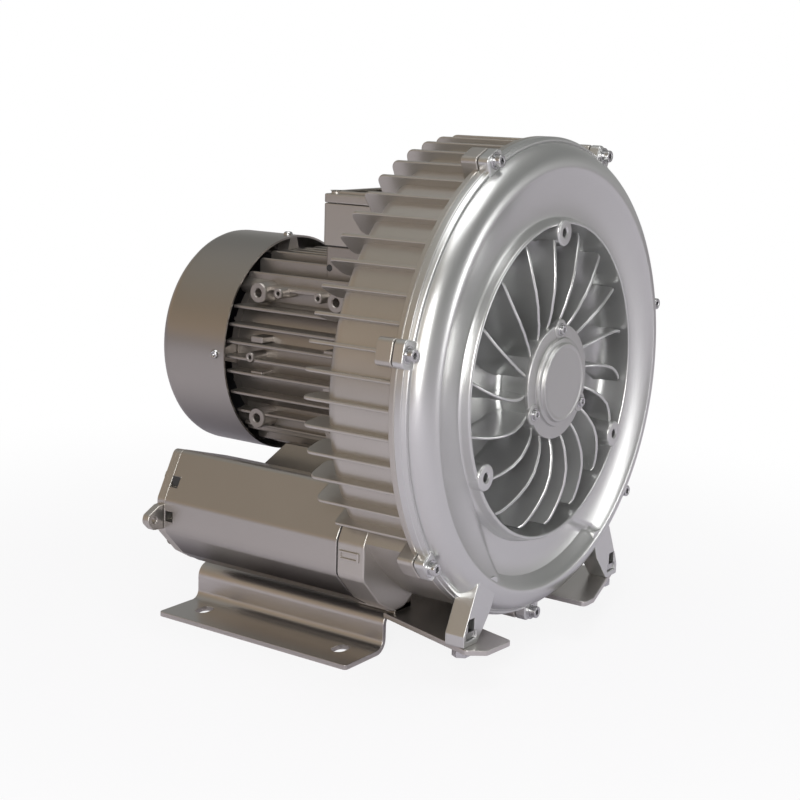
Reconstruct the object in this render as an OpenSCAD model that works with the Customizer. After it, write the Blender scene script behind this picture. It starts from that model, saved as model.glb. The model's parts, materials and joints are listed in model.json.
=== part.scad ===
// Single-stage side channel blower with its motor in line behind it.
// X is to the right seen from the front cover, Y runs back along the motor, Z is up.
// The origin is the centre of the foot hole pattern, on the floor.
// Inside the modules Y is measured from the joint plane of the two pump casings and Z from the motor axis.

/* [Overall] */
// Radius of the impeller chamber, from which the casings, the impeller and the base take their size
chamber_r = 169; // [168:0.5:171]
// Height of the deck top above the floor
deck_height = 33; // [31:1:45]
// How far the cover bolts stand out past the flange
bolt_out = 2.5; // [1.5:0.5:4.5]
// Number of cover bolts
cover_bolt_count = 7; // [5:1:9]

/* [Pump cover] */
// Width of the joint flange outside the drum
flange_w = 8.5; // [7:0.5:9.5]
// Thickness of the cover flange
cover_flange_t = 9; // [7:0.5:11]
// How far the ring bulge stands ahead of the joint
bulge_depth = 23; // [22:0.5:26]
// Distance from the flange edge in to the crest of the ring bulge
crest_in = 21.5; // [19.5:0.5:23.5]
// Width of the band from the crest in to the mouth of the cooling dish
band_w = 42; // [40:0.5:44]
// Thickness of the lip round the dish
lip_t = 4; // [3:0.5:5]
// How far the lip stands ahead of the joint
lip_depth = 21.5; // [20:0.5:23]
// Depth of the dish floor behind the joint
dish_floor_y = 8; // [6:0.5:9]
// Wall of the dish
dish_wall = 5; // [4:0.5:6]
// Radius of the bearing hub in the dish
hub_r = 44; // [42:0.5:46]
// How far the bearing hub stands ahead of the joint
hub_depth = 19; // [18.5:0.5:20]
// Radius of the hub bore behind the bearing shoulder
shoulder_r = 21; // [20.5:0.5:22]

/* [Cooling ribs] */
// Number of curved ribs
rib_count = 18; // [12:1:20]
// Thickness of a rib
rib_t = 2.6; // [2:0.2:3.4]
// How far the rib crest stands ahead of the joint
rib_depth = 25.9; // [24:0.1:27]
// Radius at the inner end of a rib
rib_inner_r = 42; // [40:0.5:43]
// Radius of the bow of a rib
rib_bow_r = 113; // [105:1:125]
// Angle by which the inner end leads the outer end
rib_lead = 15; // [10:1:18]
// Direction of the first rib, anticlockwise from +X
first_rib = 132.5; // [120:0.5:140]

/* [Rim bosses and lugs] */
// Distance from the dish mouth in to the circle of rim bosses
rim_boss_in = 6.3; // [5:0.1:8]
// Radius of a rim boss
rim_boss_r = 10.5; // [9:0.5:12]
// Depth of the blind hole in a rim boss
rim_hole_depth = 15; // [10:1:18]
// Width of a bolt lug
lug_w = 20; // [17:0.5:22]
// How far a lug reaches past the bolt circle
lug_out = 6; // [5.5:0.5:7]
// Length of the housing lug behind the joint
lug_len = 14; // [12:1:17]

/* [Pump housing] */
// Thickness of the housing flange
housing_flange_t = 5; // [4:0.5:8]
// Wall of the drum round the chamber
drum_wall = 5; // [4.5:0.5:7]
// Place where the drum wall rounds over to the rear
drum_rear_y = 55; // [52:0.5:56]
// Radius of the rounding at the rear of the drum
drum_corner_r = 13; // [10:0.5:14]
// Depth of the impeller chamber behind the joint
chamber_depth = 46.8; // [46.6:0.1:48]
// Outer radius of the rear ring bulge section
rear_bulge_r = 22.5; // [20:0.5:23]
// Thickness of the rear wall
rear_wall_t = 9; // [7:0.5:10]
// Place of the rear face that carries the motor
housing_rear_y = 78; // [76:1:79]
// Place of the rear face that carries the silencers
duct_rear_y = 71; // [69:0.5:72]
// How far the cooling fins stand out from the drum
fin_out = 6.4; // [5:0.2:8]
// Thickness of a casting fin
fin_t = 2.6; // [2:0.2:3.2]
// How far the fin tips reach past the rear face
fin_overhang = 4; // [2:0.5:5]
// Radius of the rounded fin corner
fin_corner_r = 6.4; // [4:0.2:7]
// Half of the arc that carries casting fins, from the top
fin_arc = 123; // [119:1:128]
// Fins from one cover bolt to the next
fins_per_bolt = 8; // [4:1:9]
// Outer radius of the motor seat ring
seat_ring_r = 95; // [92:0.5:97]
// Wall of the motor seat ring
seat_ring_wall = 18; // [15:0.5:20]

/* [Ring channel] */
// Distance from the chamber wall in to the channel centre line
channel_in = 19; // [18:0.5:20]
// Radius of the channel section
channel_r = 14; // [12:0.5:14.5]
// Direction of the middle of the interrupter, anticlockwise from +X
interrupter_mid = 270; // [269:0.5:271]
// Angle that the interrupter closes
interrupter_span = 74; // [70:1:76]

/* [Impeller] */
// Running gap between impeller and chamber wall
rim_gap = 1; // [0.8:0.2:2]
// Running gap between impeller and joint plane
impeller_gap = 0.6; // [0.4:0.1:0.8]
// Width of the impeller rim
impeller_w = 45.4; // [44.5:0.1:45.8]
// Wall of the rim inside the channel
rim_wall = 3; // [2.5:0.5:4]
// Number of blades
blade_count = 40; // [24:1:48]
// Thickness of a blade
blade_t = 2.4; // [1.6:0.2:3]
// Place of the front of the impeller web
web_y = 20; // [19:0.5:22]
// Thickness of the impeller web
web_t = 10; // [8:0.5:12]
// Radius of the impeller hub
impeller_hub_r = 32; // [28:0.5:34]

/* [Shaft and bearings] */
// Shaft radius at the bearings
bearing_seat_r = 12.5; // [12:0.5:12.5]
// Shaft radius in the impeller
impeller_seat_r = 14; // [13:0.5:14.5]
// Shaft radius in the motor
rotor_seat_r = 17; // [16:0.5:17]
// Shaft radius in the fan
fan_seat_r = 9.5; // [8:0.5:10]
// Outer radius of a bearing
bearing_r = 26; // [26:0.5:26.5]
// Width of a bearing
bearing_w = 15; // [14:0.5:15]
// Thickness of the bearing rings
ring_t = 3.8; // [3.5:0.1:4]
// Balls in a bearing
ball_count = 9; // [7:1:9]
// Radius of a bearing ball
ball_r = 3.7; // [3.4:0.1:3.8]
// Width of the impeller key
key_w = 8; // [6:1:8]
// Thickness of the bearing locknut
locknut_t = 6; // [5:0.5:6]

/* [Bearing cap] */
// Radius of the raised disc on the cap
cap_disc_r = 30; // [27:0.5:32]
// Thickness of the cap flange
cap_flange_t = 3.7; // [3:0.1:4.5]
// How far the disc stands ahead of the flange
cap_disc_rise = 6; // [5.5:0.5:8]
// Radius of the cap screw circle
cap_screw_circle_r = 40; // [38:0.5:41]
// Radius of a cap ear
cap_ear_r = 8; // [7:0.5:9]

/* [Motor] */
// Inner radius of the motor barrel
barrel_bore_r = 65; // [64:0.5:66]
// Wall of the motor barrel
barrel_wall = 6; // [5:0.5:7]
// Place of the rear end of the barrel
barrel_end_y = 236; // [234:1:238]
// Radius of the envelope of the motor fins
motor_fin_r = 86; // [84:0.5:87]
// Height of the tips of the upper and lower fins
top_fin_z = 80; // [77:0.5:84]
// Thickness of a motor fin
motor_fin_t = 2.6; // [2:0.2:3.2]
// Pitch of the side fins
side_fin_pitch = 14.2; // [13:0.2:15]
// Pitch of the upper and lower fins
top_fin_pitch = 14; // [13:0.2:15]
// Thickness of the motor front flange
motor_flange_t = 8; // [7:0.5:10]
// Length of the stator core
stator_len = 90; // [70:1:100]
// Place of the front of the stator core
stator_y = 118; // [116:1:122]
// Radius of the stator bore
stator_bore_r = 40; // [38:0.5:42]
// Air gap between rotor and stator
air_gap = 0.5; // [0.4:0.1:0.8]
// Length of a winding head
winding_head = 20; // [14:1:22]
// Face of the side bosses, from the motor axis
boss_face_x = 74; // [72:0.5:78]
// Spacing of the side bosses along the motor
boss_pitch_y = 78; // [74:1:82]
// Spacing of the side bosses in height
boss_pitch_z = 102; // [98:1:104]
// Radius of a side boss
boss_r = 8.5; // [7.5:0.5:9.5]
// Place of the front pair of side bosses
boss_front_y = 134; // [131:1:138]

/* [Fan and cowl] */
// Outer radius of the fan cowl
cowl_r = 90.7; // [90:0.1:92]
// Sheet thickness of the cowl
cowl_t = 1.6; // [1.2:0.1:2]
// Place of the front rim of the cowl
cowl_front_y = 233; // [230:1:235]
// Place of the rear of the cowl
cowl_rear_y = 305; // [302:1:308]
// Radius of the rounded edge of the cowl
cowl_edge_r = 12; // [8:1:14]
// Radius of the fan
fan_r = 74; // [60:1:76]
// Number of fan blades
fan_blades = 8; // [6:1:11]
// Width of the fan
fan_w = 20; // [16:1:21]
// Place of the cowl screws
cowl_screw_y = 242; // [240.5:0.5:243.5]

/* [Terminal box] */
// Half width of the box
box_half_w = 46; // [42:1:48]
// Front of the box
box_front_y = 86; // [84:1:92]
// Rear of the box
box_rear_y = 170; // [160:1:176]
// Height of the pedestal top above the motor axis
pedestal_top = 90; // [88:1:93]
// Height of the box part
box_h = 33; // [28:0.5:36]
// Height of the lid
lid_h = 10; // [8:0.5:12]
// Wall of the box
box_wall = 3.5; // [3:0.5:5]
// Gasket thickness of the box
box_gasket_t = 1; // [0.6:0.1:1.4]

/* [Silencers and ports] */
// Distance from the middle plane to a silencer
silencer_x = 102; // [100:0.5:104]
// Gap between a silencer and the deck
silencer_clear = 8; // [8:0.5:10]
// Half width of a silencer
silencer_half_w = 46; // [44:0.5:47]
// Half height of a silencer
silencer_half_h = 50; // [48:0.5:51]
// Wall of a silencer
silencer_wall = 3.6; // [3:0.2:4.4]
// Place of the rear end of a silencer
silencer_rear_y = 243; // [230:1:250]
// Gasket thickness at the silencer face
silencer_gasket_t = 1; // [0.6:0.1:1.4]
// Radius of the threaded port
port_r = 29; // [27:0.5:29]
// Thickness of the port flange
port_flange_t = 9; // [7:0.5:11]
// Length of the spigot inside the port flange
port_spigot = 15; // [10:1:18]
// Wall of the perforated tube
tube_wall = 1.2; // [1:0.1:1.6]

/* [Base plate] */
// Sheet thickness of the base
sheet_t = 4; // [3:0.5:4.5]
// How far the deck stands above the lowest point of the flange
deck_rise = 2.5; // [0.5:0.5:3]
// Half width of the deck
deck_half_w = 90; // [88:1:92]
// Half width over the feet
foot_half_w = 137; // [134:1:140]
// Bend radius inside the sheet
bend_r = 7; // [5:0.5:8]
// Spacing of the foot slots across the blower
slot_spacing_x = 220; // [216:1:224]
// Spacing of the foot slots along the blower
slot_spacing_y = 140; // [134:1:146]
// Front edge of the feet
foot_front_y = 69; // [66:1:71]
// Rear edge of the feet
foot_rear_y = 260; // [257:1:263]
// Half width of a foot slot
slot_r = 5.5; // [4.5:0.5:6]
// End to end length of a foot slot
slot_len = 17; // [14:0.5:20]
// Front edge of the tongues
tongue_front_y = -39; // [-42:1:-34]

/* [Fasteners] */
// Shank radius of the cover bolts
bolt_shank_r = 3; // [2.5:0.5:3]
// Head radius of the cover bolts
bolt_head_r = 5; // [4.5:0.5:5.5]
// Head height of the cover bolts
bolt_head_h = 6; // [5:0.5:6.5]
// Shank radius of the small screws
small_screw_r = 2; // [1.5:0.5:2]
// Shank radius of the base and motor bolts
frame_bolt_r = 4; // [3:0.5:4]
// Hole radius for the mounting threads in bosses
tapped_r = 3.4; // [3:0.1:3.8]

/* [Clearances] */
// Gap between seated metal parts
seat_gap = 0.05; // [0.03:0.01:0.1]
// Radial clearance of screws in their holes
screw_gap = 0.3; // [0.2:0.1:0.5]
// Running gap between parts that turn past each other
running_gap = 0.4; // [0.3:0.1:0.5]
// Radial clearance of the shaft seals
seal_gap = 0.1; // [0.08:0.01:0.1]

/* [Hidden] */
$fn = 96;
cast_colour = [0.72, 0.71, 0.69];
cover_colour = [0.80, 0.80, 0.79];
steel_colour = [0.62, 0.62, 0.63];
dark_colour = [0.20, 0.20, 0.21];
rubber_colour = [0.10, 0.10, 0.10];
copper_colour = [0.66, 0.37, 0.20];

// Overrun of every cut past the solid it opens
cut = 1;
drum_r = chamber_r + drum_wall;
flange_r = drum_r + flange_w;
bolt_circle_r = flange_r + bolt_out;
crest_r = flange_r - crest_in;
dish_r = crest_r - band_w;
rim_boss_circle_r = dish_r - rim_boss_in;
fin_tip_r = drum_r + fin_out;
channel_centre_r = chamber_r - channel_in;
impeller_r = chamber_r - rim_gap;
deck_drop = flange_r - deck_rise;
silencer_drop = deck_drop - silencer_half_h - silencer_clear;
axis_height = deck_drop + deck_height;
foot_mid_y = (foot_front_y + foot_rear_y) / 2;
lug_front_y = -cover_flange_t;
lug_tip_r = bolt_circle_r + lug_out;
lug_root_r = flange_r - lug_w / 2;
bolt_step = 360 / cover_bolt_count;
fin_step = bolt_step / fins_per_bolt;
first_bolt = -90;
bolt_screw_len = lug_len + cover_flange_t - lug_out / 2;
channel_start = interrupter_mid + interrupter_span / 2;
channel_sweep = 360 - interrupter_span;
crest_fall_r = flange_r - crest_r - cover_flange_t / 2;
lip_base_f = lip_depth - lip_t * 2;
rib_outer_r = dish_r - dish_wall * 1.6;
cap_back_y = -hub_depth;
cap_front_y = cap_back_y - cap_flange_t;
cap_seal_r = bearing_r + ring_t * 1.5;
bearing_y = -hub_depth + lip_t / 2;
shoulder_y = bearing_y + bearing_w;
race_r = (bearing_seat_r + bearing_r) / 2;
seal_y = shoulder_y + dish_wall;
seal_w = dish_wall * 1.4;
seal_r = shoulder_r + dish_wall * 0.6;
cover_hub_back_y = dish_floor_y + dish_wall;
sleeve_r = rotor_seat_r;
impeller_hub_y = cover_hub_back_y + impeller_gap * 2;
impeller_back_y = impeller_gap + impeller_w;
shaft_front_y = bearing_y - locknut_t - cut;
motor_seal_y = chamber_depth + rear_wall_t / 4;
motor_seal_r = bearing_r;
barrel_r = barrel_bore_r + barrel_wall;
motor_bolt_circle_r = seat_ring_r - seat_ring_wall / 2;
stator_end_y = stator_y + stator_len;
shield_t = barrel_wall;
rear_bearing_y = barrel_end_y + cut * 4;
rear_bearing_end_y = rear_bearing_y + bearing_w;
shield_back_y = rear_bearing_end_y + cut;
fan_y = shield_back_y + fan_w * 0.3;
shaft_end_y = fan_y + fan_w + fan_w * 0.25;
shield_screw_circle_r = barrel_r + barrel_wall * 0.9;
box_base_z = pedestal_top + box_gasket_t;
lid_z = box_base_z + box_h;
box_mid_y = (box_front_y + box_rear_y) / 2;
silencer_front_y = duct_rear_y + silencer_gasket_t;
port_flange_end_y = silencer_rear_y + port_flange_t;
tube_r = port_r + tube_wall;
foot_top_z = -axis_height + sheet_t;
deck_bottom_z = -deck_drop - sheet_t;
gland_r = box_h * 0.3;
gland_pitch = box_half_w * 0.95;
tie_boss_r = bolt_shank_r + silencer_wall * 0.6;
notch_len = silencer_wall * 2.4;
tube_hole_rows = 4;
tube_holes_round = 6;
tube_hole_pitch = (silencer_rear_y - port_spigot - silencer_front_y) / (tube_hole_rows + 1);
tube_hole_r = tube_hole_pitch * 0.25;
tie_len = port_flange_end_y - bolt_head_h * 0.7 - duct_rear_y + rear_wall_t * 0.7;
fin_reach = floor(fin_arc / fin_step);
top_fin_reach = 4;
rim_boss_count = 3;
frame_screw_count = 4;
cap_screw_count = 3;
web_hole_count = 6;
shield_rib_count = 8;
grille_rings = 7;
grille_sectors = 4;
grille_step = 360 / grille_sectors;
grille_bar = grille_step / 11;
grille_pitch = fan_r / (grille_rings + 1);
stator_slots = 24;
slot_depth = barrel_wall * 2.4;
slot_half_w = motor_fin_t * 0.9;
leg_front_y = -bulge_depth + cut;
leg_back_y = leg_front_y / 4;
leg_bolt_x = deck_half_w * 1.2;
leg_bolt_y = (leg_front_y + leg_back_y) / 2;
rear_lug_h = dish_wall;
leg_slot_h = rear_lug_h;
nut_w = frame_bolt_r * 3.25;
nut_h = frame_bolt_r * 1.2;
rear_lug_x = deck_half_w * 0.82;
rear_lug_w = lug_w * 1.1;
rear_lug_y = duct_rear_y + lug_w * 0.95;
cradle_gap = seat_gap * 30;
cradle_half_w = box_half_w * 1.3;
base_head_h = frame_bolt_r * 1.3;

// Places of the silencer outline as shares of its half width and half height
outline_shares = [
    [-0.56, 1], [0.62, 0.70], [1, 0.24], [1, -0.28], [0.55, -0.72],
    [0.14, -0.94], [-0.14, -0.94], [-0.55, -0.72], [-1, -0.28], [-1, 0.24]
];
// Places of the tie screws as shares of the half width and half height
tie_shares = [[0.60, 0.50], [-0.66, 0.54], [0.61, -0.48], [-0.61, -0.48]];
// Place and height of the rib crest line, as shares of the rib reach and of the rib depth
rib_crest_shares = [
    [0, 0.72], [0.22, 0.93], [0.42, 1], [0.58, 0.98], [0.74, 0.87], [0.88, 0.74], [0.97, 0.60], [1, 0.40]
];
// Dish wall, as shares of the way in from mouth to hub and of the way from lip to floor
dish_shares = [
    [0, 0], [0.05, 0.42], [0.14, 0.72], [0.28, 0.91], [0.46, 1], [0.86, 1], [0.95, 0.90], [1, 0.66]
];
// Plan of the deck front, as shares of the deck half width and of the way from feet to tongue tips
tongue_shares = [
    [-1, -0.1], [-1, 0], [-1.32, 0.86], [-1.21, 0.98], [-0.88, 1], [-0.78, 0.69], [-0.78, 0.45], [0.36, 0.45],
    [0.36, 1], [0.53, 1], [1.42, 0.77], [1.38, 0.64], [1, 0], [1, -0.1]
];
// Corners of the plain pocket in the cover bulge, as shares of the flange radius
pocket_shares = [
    [-0.53, -0.40], [-0.34, -0.767], [-0.36, -0.92], [0.48, -0.92], [0.43, -0.74], [0.155, -0.62]
];
// Heights of the side fins in pitches
side_fin_shares = [2.7, 1.7, 0.75, -0.1, -0.95, -2.2, -3.35, -4.2];
// Small bosses, as shares of the boss pitch, of the boss height and of the boss face distance
small_boss_shares = [[0.70, 0.52, 1.05], [0.19, 0.52, 1.05], [0.95, 0.01, 1.19]];

// Solid of revolution about the motor axis, from an outline of radius and Y
module spin_y(angle = 360, start = 0) {
    rotate([90, 0, 0])
        rotate_extrude(angle = angle, start = start)
            mirror([0, 1]) children();
}

// Plate of an X and Z outline, from one Y to another
module along_y(y0, y1) {
    translate([0, y1, 0])
        rotate([90, 0, 0])
            linear_extrude(height = y1 - y0) children();
}

module rod_y(r, y0, y1) {
    translate([0, y0, 0])
        rotate([-90, 0, 0])
            cylinder(r = r, h = y1 - y0);
}

module ring_y(ro, ri, y0, y1) {
    difference() {
        rod_y(ro, y0, y1);
        rod_y(ri, y0 - cut, y1 + cut);
    }
}

module at_angle(a, r) {
    rotate([0, -a, 0]) translate([r, 0, 0]) children();
}

module around(count, r, first = 0) {
    for (i = [0 : count - 1]) at_angle(first + i * 360 / count, r) children();
}

// Puts the pump frame over the origin on the floor
module placed() {
    translate([0, -foot_mid_y, axis_height]) children();
}

module box_span(x0, x1, y0, y1, z0, z1) {
    translate([x0, y0, z0]) cube([x1 - x0, y1 - y0, z1 - z0]);
}

module socket_screw(shank_r, len, head_r, head_h) {
    difference() {
        union() {
            rod_y(head_r, -head_h, 0);
            rod_y(shank_r, -head_h / 2, len);
        }
        rod_hex(shank_r * 0.9, -head_h - cut, -head_h * 0.4);
    }
}

module rod_hex(r, y0, y1) {
    translate([0, y0, 0]) rotate([-90, 0, 0]) cylinder(r = r, h = y1 - y0, $fn = 6);
}

module silencer_outline(scale_share = 1) {
    polygon([for (p = outline_shares)
        [p[0] * silencer_half_w * scale_share, p[1] * silencer_half_h * scale_share]]);
}

module at_silencer(side) {
    translate([side * silencer_x, 0, -silencer_drop]) mirror([(side + 1) / 2, 0, 0]) children();
}

// Pump cover
module cover_bulge_section() {
    intersection() {
        union() {
            difference() {
                translate([dish_r + lip_t, 0])
                    square([crest_r - dish_r - lip_t, bulge_depth]);
                translate([(crest_r + dish_r + lip_t) / 2 - bulge_depth * 0.657, bulge_depth * 3.426])
                    circle(r = bulge_depth * 2.843);
            }
            translate([crest_r, bulge_depth - crest_fall_r]) circle(r = crest_fall_r);
            translate([crest_r, 0]) square([crest_fall_r, bulge_depth - crest_fall_r]);
        }
        translate([dish_r, 0]) square([flange_r - dish_r, bulge_depth]);
    }
}

module dish_profile(shift) {
    reach = dish_r - hub_r;
    drop = dish_floor_y + lip_depth;
    polygon(concat(
        [for (s = dish_shares) [dish_r - s[0] * reach, lip_depth - s[1] * drop - shift]],
        [[hub_r, -cover_hub_back_y - cut * 2], [dish_r, -cover_hub_back_y - cut * 2]]
    ));
}

module rib_profile() {
    reach = rib_outer_r - rib_inner_r;
    polygon(concat(
        [for (s = rib_crest_shares) [rib_inner_r + s[0] * reach, s[1] * rib_depth]],
        [[rib_outer_r, -dish_floor_y - dish_wall / 2], [rib_inner_r, -dish_floor_y - dish_wall / 2]]
    ));
}

module rib_strips() {
    inner = [rib_inner_r * cos(rib_lead), rib_inner_r * sin(rib_lead)];
    outer = [rib_outer_r, 0];
    chord = norm(outer - inner);
    along = (outer - inner) / chord;
    middle = (outer + inner) / 2;
    back = sqrt(rib_bow_r * rib_bow_r - chord * chord / 4);
    centre = middle + [along[1], -along[0]] * back;
    for (i = [0 : rib_count - 1]) rotate(first_rib - i * 360 / rib_count)
        intersection() {
            translate(centre)
                difference() {
                    circle(r = rib_bow_r + rib_t / 2);
                    circle(r = rib_bow_r - rib_t / 2);
                }
            translate([rib_inner_r * 0.85, -rib_t * 2]) square([rib_outer_r, rib_inner_r]);
        }
}

module cover_legs() {
    for (side = [-1, 1]) difference() {
        along_y(leg_front_y, leg_back_y)
            polygon([
                [side * deck_half_w * 1.11, -flange_r * 0.73],
                [side * deck_half_w * 1.31, -deck_drop + dish_wall * 1.8],
                [side * deck_half_w * 1.31, -deck_drop],
                [side * deck_half_w * 1.11, -deck_drop],
                [side * deck_half_w * 0.91, -flange_r * 0.87],
                [side * deck_half_w * 0.80, -flange_r * 0.74]
            ]);
        translate([side * leg_bolt_x, leg_bolt_y, -deck_drop - cut])
            cylinder(r = frame_bolt_r + screw_gap, h = leg_slot_h + cut * 2);
        box_span(side * leg_bolt_x - nut_w / 2 - screw_gap, side * leg_bolt_x + nut_w / 2 + screw_gap,
            leg_front_y - cut, leg_bolt_y + nut_w / 2 + screw_gap,
            -deck_drop + leg_slot_h, -deck_drop + leg_slot_h + nut_h + screw_gap);
    }
}

module pump_cover() color(cover_colour) placed() difference() {
    union() {
        mirror([0, 1, 0]) {
            spin_y() polygon([
                [dish_r, 0], [flange_r, 0], [flange_r, cover_flange_t * 0.6],
                [flange_r - lip_t / 2, cover_flange_t], [dish_r, cover_flange_t]
            ]);
            difference() {
                spin_y() cover_bulge_section();
                along_y(cover_flange_t, bulge_depth + cut) intersection() {
                    polygon([for (p = pocket_shares) [p[0] * flange_r, p[1] * flange_r]]);
                    circle(r = crest_r - crest_fall_r / 2);
                }
            }
            spin_y() polygon([
                [dish_r, 0], [dish_r + lip_t, 0], [dish_r + lip_t, lip_base_f],
                [dish_r + lip_t / 2, lip_depth], [dish_r, lip_depth]
            ]);
            spin_y() difference() {
                dish_profile(0);
                translate([dish_wall * 0.8, 0]) dish_profile(dish_wall);
                translate([0, -cover_hub_back_y - cut * 3]) square([dish_r + cut, cut * 3]);
            }
            intersection() {
                along_y(-dish_floor_y - dish_wall / 2, rib_depth) rib_strips();
                spin_y() rib_profile();
            }
        }
        rod_y(hub_r, -hub_depth, cover_hub_back_y);
        around(rim_boss_count, rim_boss_circle_r, 90) rod_y(rim_boss_r, -bulge_depth, 0);
        around(cover_bolt_count, 0, first_bolt)
            box_span(lug_root_r, lug_tip_r, lug_front_y, 0, -lug_w / 2, lug_w / 2);
        cover_legs();
    }
    spin_y(channel_sweep, channel_start) translate([channel_centre_r, 0]) circle(r = channel_r);
    rod_y(bearing_r + seat_gap, -hub_depth - cut, shoulder_y);
    rod_y(shoulder_r, -hub_depth, cover_hub_back_y + cut);
    rod_y(seal_r + seat_gap, seal_y, cover_hub_back_y + cut);
    around(cap_screw_count, cap_screw_circle_r, 90) {
        rod_y(small_screw_r + seat_gap, -hub_depth - cut, -hub_depth + locknut_t * 2);
        rod_y(cap_ear_r + running_gap, -rib_depth - cut, cap_back_y - running_gap / 2);
    }
    around(rim_boss_count, rim_boss_circle_r, 90) 
        rod_y(tapped_r, -bulge_depth - cut, -bulge_depth + rim_hole_depth);
    around(cover_bolt_count, bolt_circle_r, first_bolt)
        rod_y(bolt_shank_r + screw_gap, lug_front_y - cut, cut);
}

module cover_seal() color(rubber_colour) placed()
    ring_y(flange_r - seal_w, chamber_r + dish_wall * 0.4, seat_gap, seat_gap * 20);

module cover_bolts() color(steel_colour) placed()
    around(cover_bolt_count, bolt_circle_r, first_bolt)
        translate([0, lug_front_y, 0])
            socket_screw(bolt_shank_r, bolt_screw_len, bolt_head_r, bolt_head_h);

// Pump housing
function arc(cx, cy, r, a0, a1, steps) =
    [for (i = [0 : steps]) let(a = a0 + (a1 - a0) * i / steps) [cx + r * cos(a), cy + r * sin(a)]];

module housing_body_section() {
    square([flange_r, housing_flange_t]);
    square([drum_r, drum_rear_y]);
    translate([drum_r - drum_corner_r, drum_rear_y]) circle(r = drum_corner_r);
    translate([channel_centre_r, chamber_depth]) circle(r = rear_bulge_r);
    square([channel_centre_r, chamber_depth + rear_wall_t]);
    translate([seat_ring_r - seat_ring_wall, 0]) square([seat_ring_wall, housing_rear_y]);
    square([motor_seal_r + dish_wall * 1.6, chamber_depth + rear_wall_t + dish_wall]);
}

module casting_fin() {
    tip_y = housing_rear_y + fin_overhang;
    translate([0, 0, -fin_t / 2]) linear_extrude(height = fin_t)
        polygon(concat(
            [[drum_r - dish_wall * 3, housing_flange_t / 2], [fin_tip_r, housing_flange_t / 2]],
            arc(fin_tip_r - fin_corner_r, tip_y - fin_corner_r, fin_corner_r, 0, 90, 5),
            arc(drum_r - fin_corner_r * 1.8, tip_y - fin_corner_r, fin_corner_r, 90, 160, 4),
            [[channel_centre_r + fin_corner_r, chamber_depth + rear_bulge_r * 0.8]]
        ));
}

module housing_ducts() {
    for (side = [-1, 1]) {
        at_silencer(side) along_y(chamber_depth, duct_rear_y) silencer_outline();
        intersection() {
            at_silencer(side) along_y(housing_flange_t / 2, duct_rear_y) silencer_outline();
            rod_y(flange_r - cut / 2, 0, duct_rear_y);
        }
        box_span(side * rear_lug_x - rear_lug_w / 2, side * rear_lug_x + rear_lug_w / 2,
            duct_rear_y - rear_wall_t, duct_rear_y, -deck_drop, -silencer_drop - silencer_half_h / 3);
        box_span(side * rear_lug_x - rear_lug_w / 2, side * rear_lug_x + rear_lug_w / 2,
            duct_rear_y - cut, rear_lug_y + lug_w / 2, -deck_drop, -deck_drop + rear_lug_h);
    }
}

// Cradle under the motor, behind the ring
module housing_cradle() {
    top = -motor_fin_r * 0.83;
    rear = motor_fin_r * 1.33;
    translate([-cradle_half_w, 0, 0]) rotate([90, 0, 90]) linear_extrude(height = cradle_half_w * 2)
        polygon([
            [chamber_depth, top], [housing_rear_y + rear, top],
            [housing_rear_y + rear + lug_w, top - lug_w], [housing_rear_y + rear + lug_w, top - lug_w * 1.1],
            [chamber_depth, top - lug_w * 1.1]
        ]);
}

module pump_housing() color(cast_colour) placed() difference() {
    union() {
        spin_y() housing_body_section();
        difference() {
            union() {
                for (k = [-fin_reach : fin_reach]) at_angle(90 + fin_step * k, 0) casting_fin();
                housing_cradle();
            }
            for (side = [-1, 1])
                at_silencer(side) along_y(duct_rear_y, port_flange_end_y) silencer_outline(1.03);
            rod_y(seat_ring_r + cradle_gap, housing_rear_y, housing_rear_y + motor_flange_t + cradle_gap);
            rod_y(motor_fin_r + cradle_gap, housing_rear_y, port_flange_end_y);
        }
        housing_ducts();
        around(cover_bolt_count, 0, first_bolt)
            box_span(lug_root_r, lug_tip_r, 0, lug_len, -lug_w / 2, lug_w / 2);
    }
    rod_y(chamber_r, -cut, chamber_depth);
    spin_y(channel_sweep, channel_start) translate([channel_centre_r, chamber_depth]) circle(r = channel_r);
    ring_y(flange_r - seal_w + seat_gap, chamber_r + dish_wall * 0.4 - seat_gap, -cut, seat_gap * 22);
    rod_y(rotor_seat_r + screw_gap * 4, chamber_depth - cut, housing_rear_y);
    rod_y(motor_seal_r + seat_gap, motor_seal_y, housing_rear_y);
    for (side = [-1, 1]) {
        at_silencer(side) rod_y(channel_r * 1.25, chamber_depth + cut * 3, duct_rear_y + cut);
        at_silencer(side) for (t = tie_shares) at_tie(t)
            rod_y(bolt_shank_r + seat_gap, duct_rear_y - rear_wall_t, duct_rear_y + cut);
        translate([side * rear_lug_x, rear_lug_y, -deck_drop - cut])
            cylinder(r = frame_bolt_r + screw_gap, h = rear_lug_h + cut * 2);
    }
    around(cover_bolt_count, bolt_circle_r, first_bolt)
        rod_y(bolt_shank_r + seat_gap, -cut, lug_len - lug_out / 3);
    around(frame_screw_count, motor_bolt_circle_r, 45)
        rod_y(frame_bolt_r + seat_gap, housing_rear_y - seat_ring_wall, housing_rear_y + cut);
}

module at_tie(t) {
    translate([t[0] * silencer_half_w, 0, t[1] * silencer_half_h]) children();
}

// Impeller on the shaft
module impeller_pocket(face_y) {
    difference() {
        spin_y() translate([channel_centre_r, face_y]) circle(r = channel_r);
        around(blade_count, 0) box_span(channel_centre_r - channel_r * 2, channel_centre_r + channel_r * 2,
            face_y - channel_r * 2, face_y + channel_r * 2, -blade_t / 2, blade_t / 2);
    }
}

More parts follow.
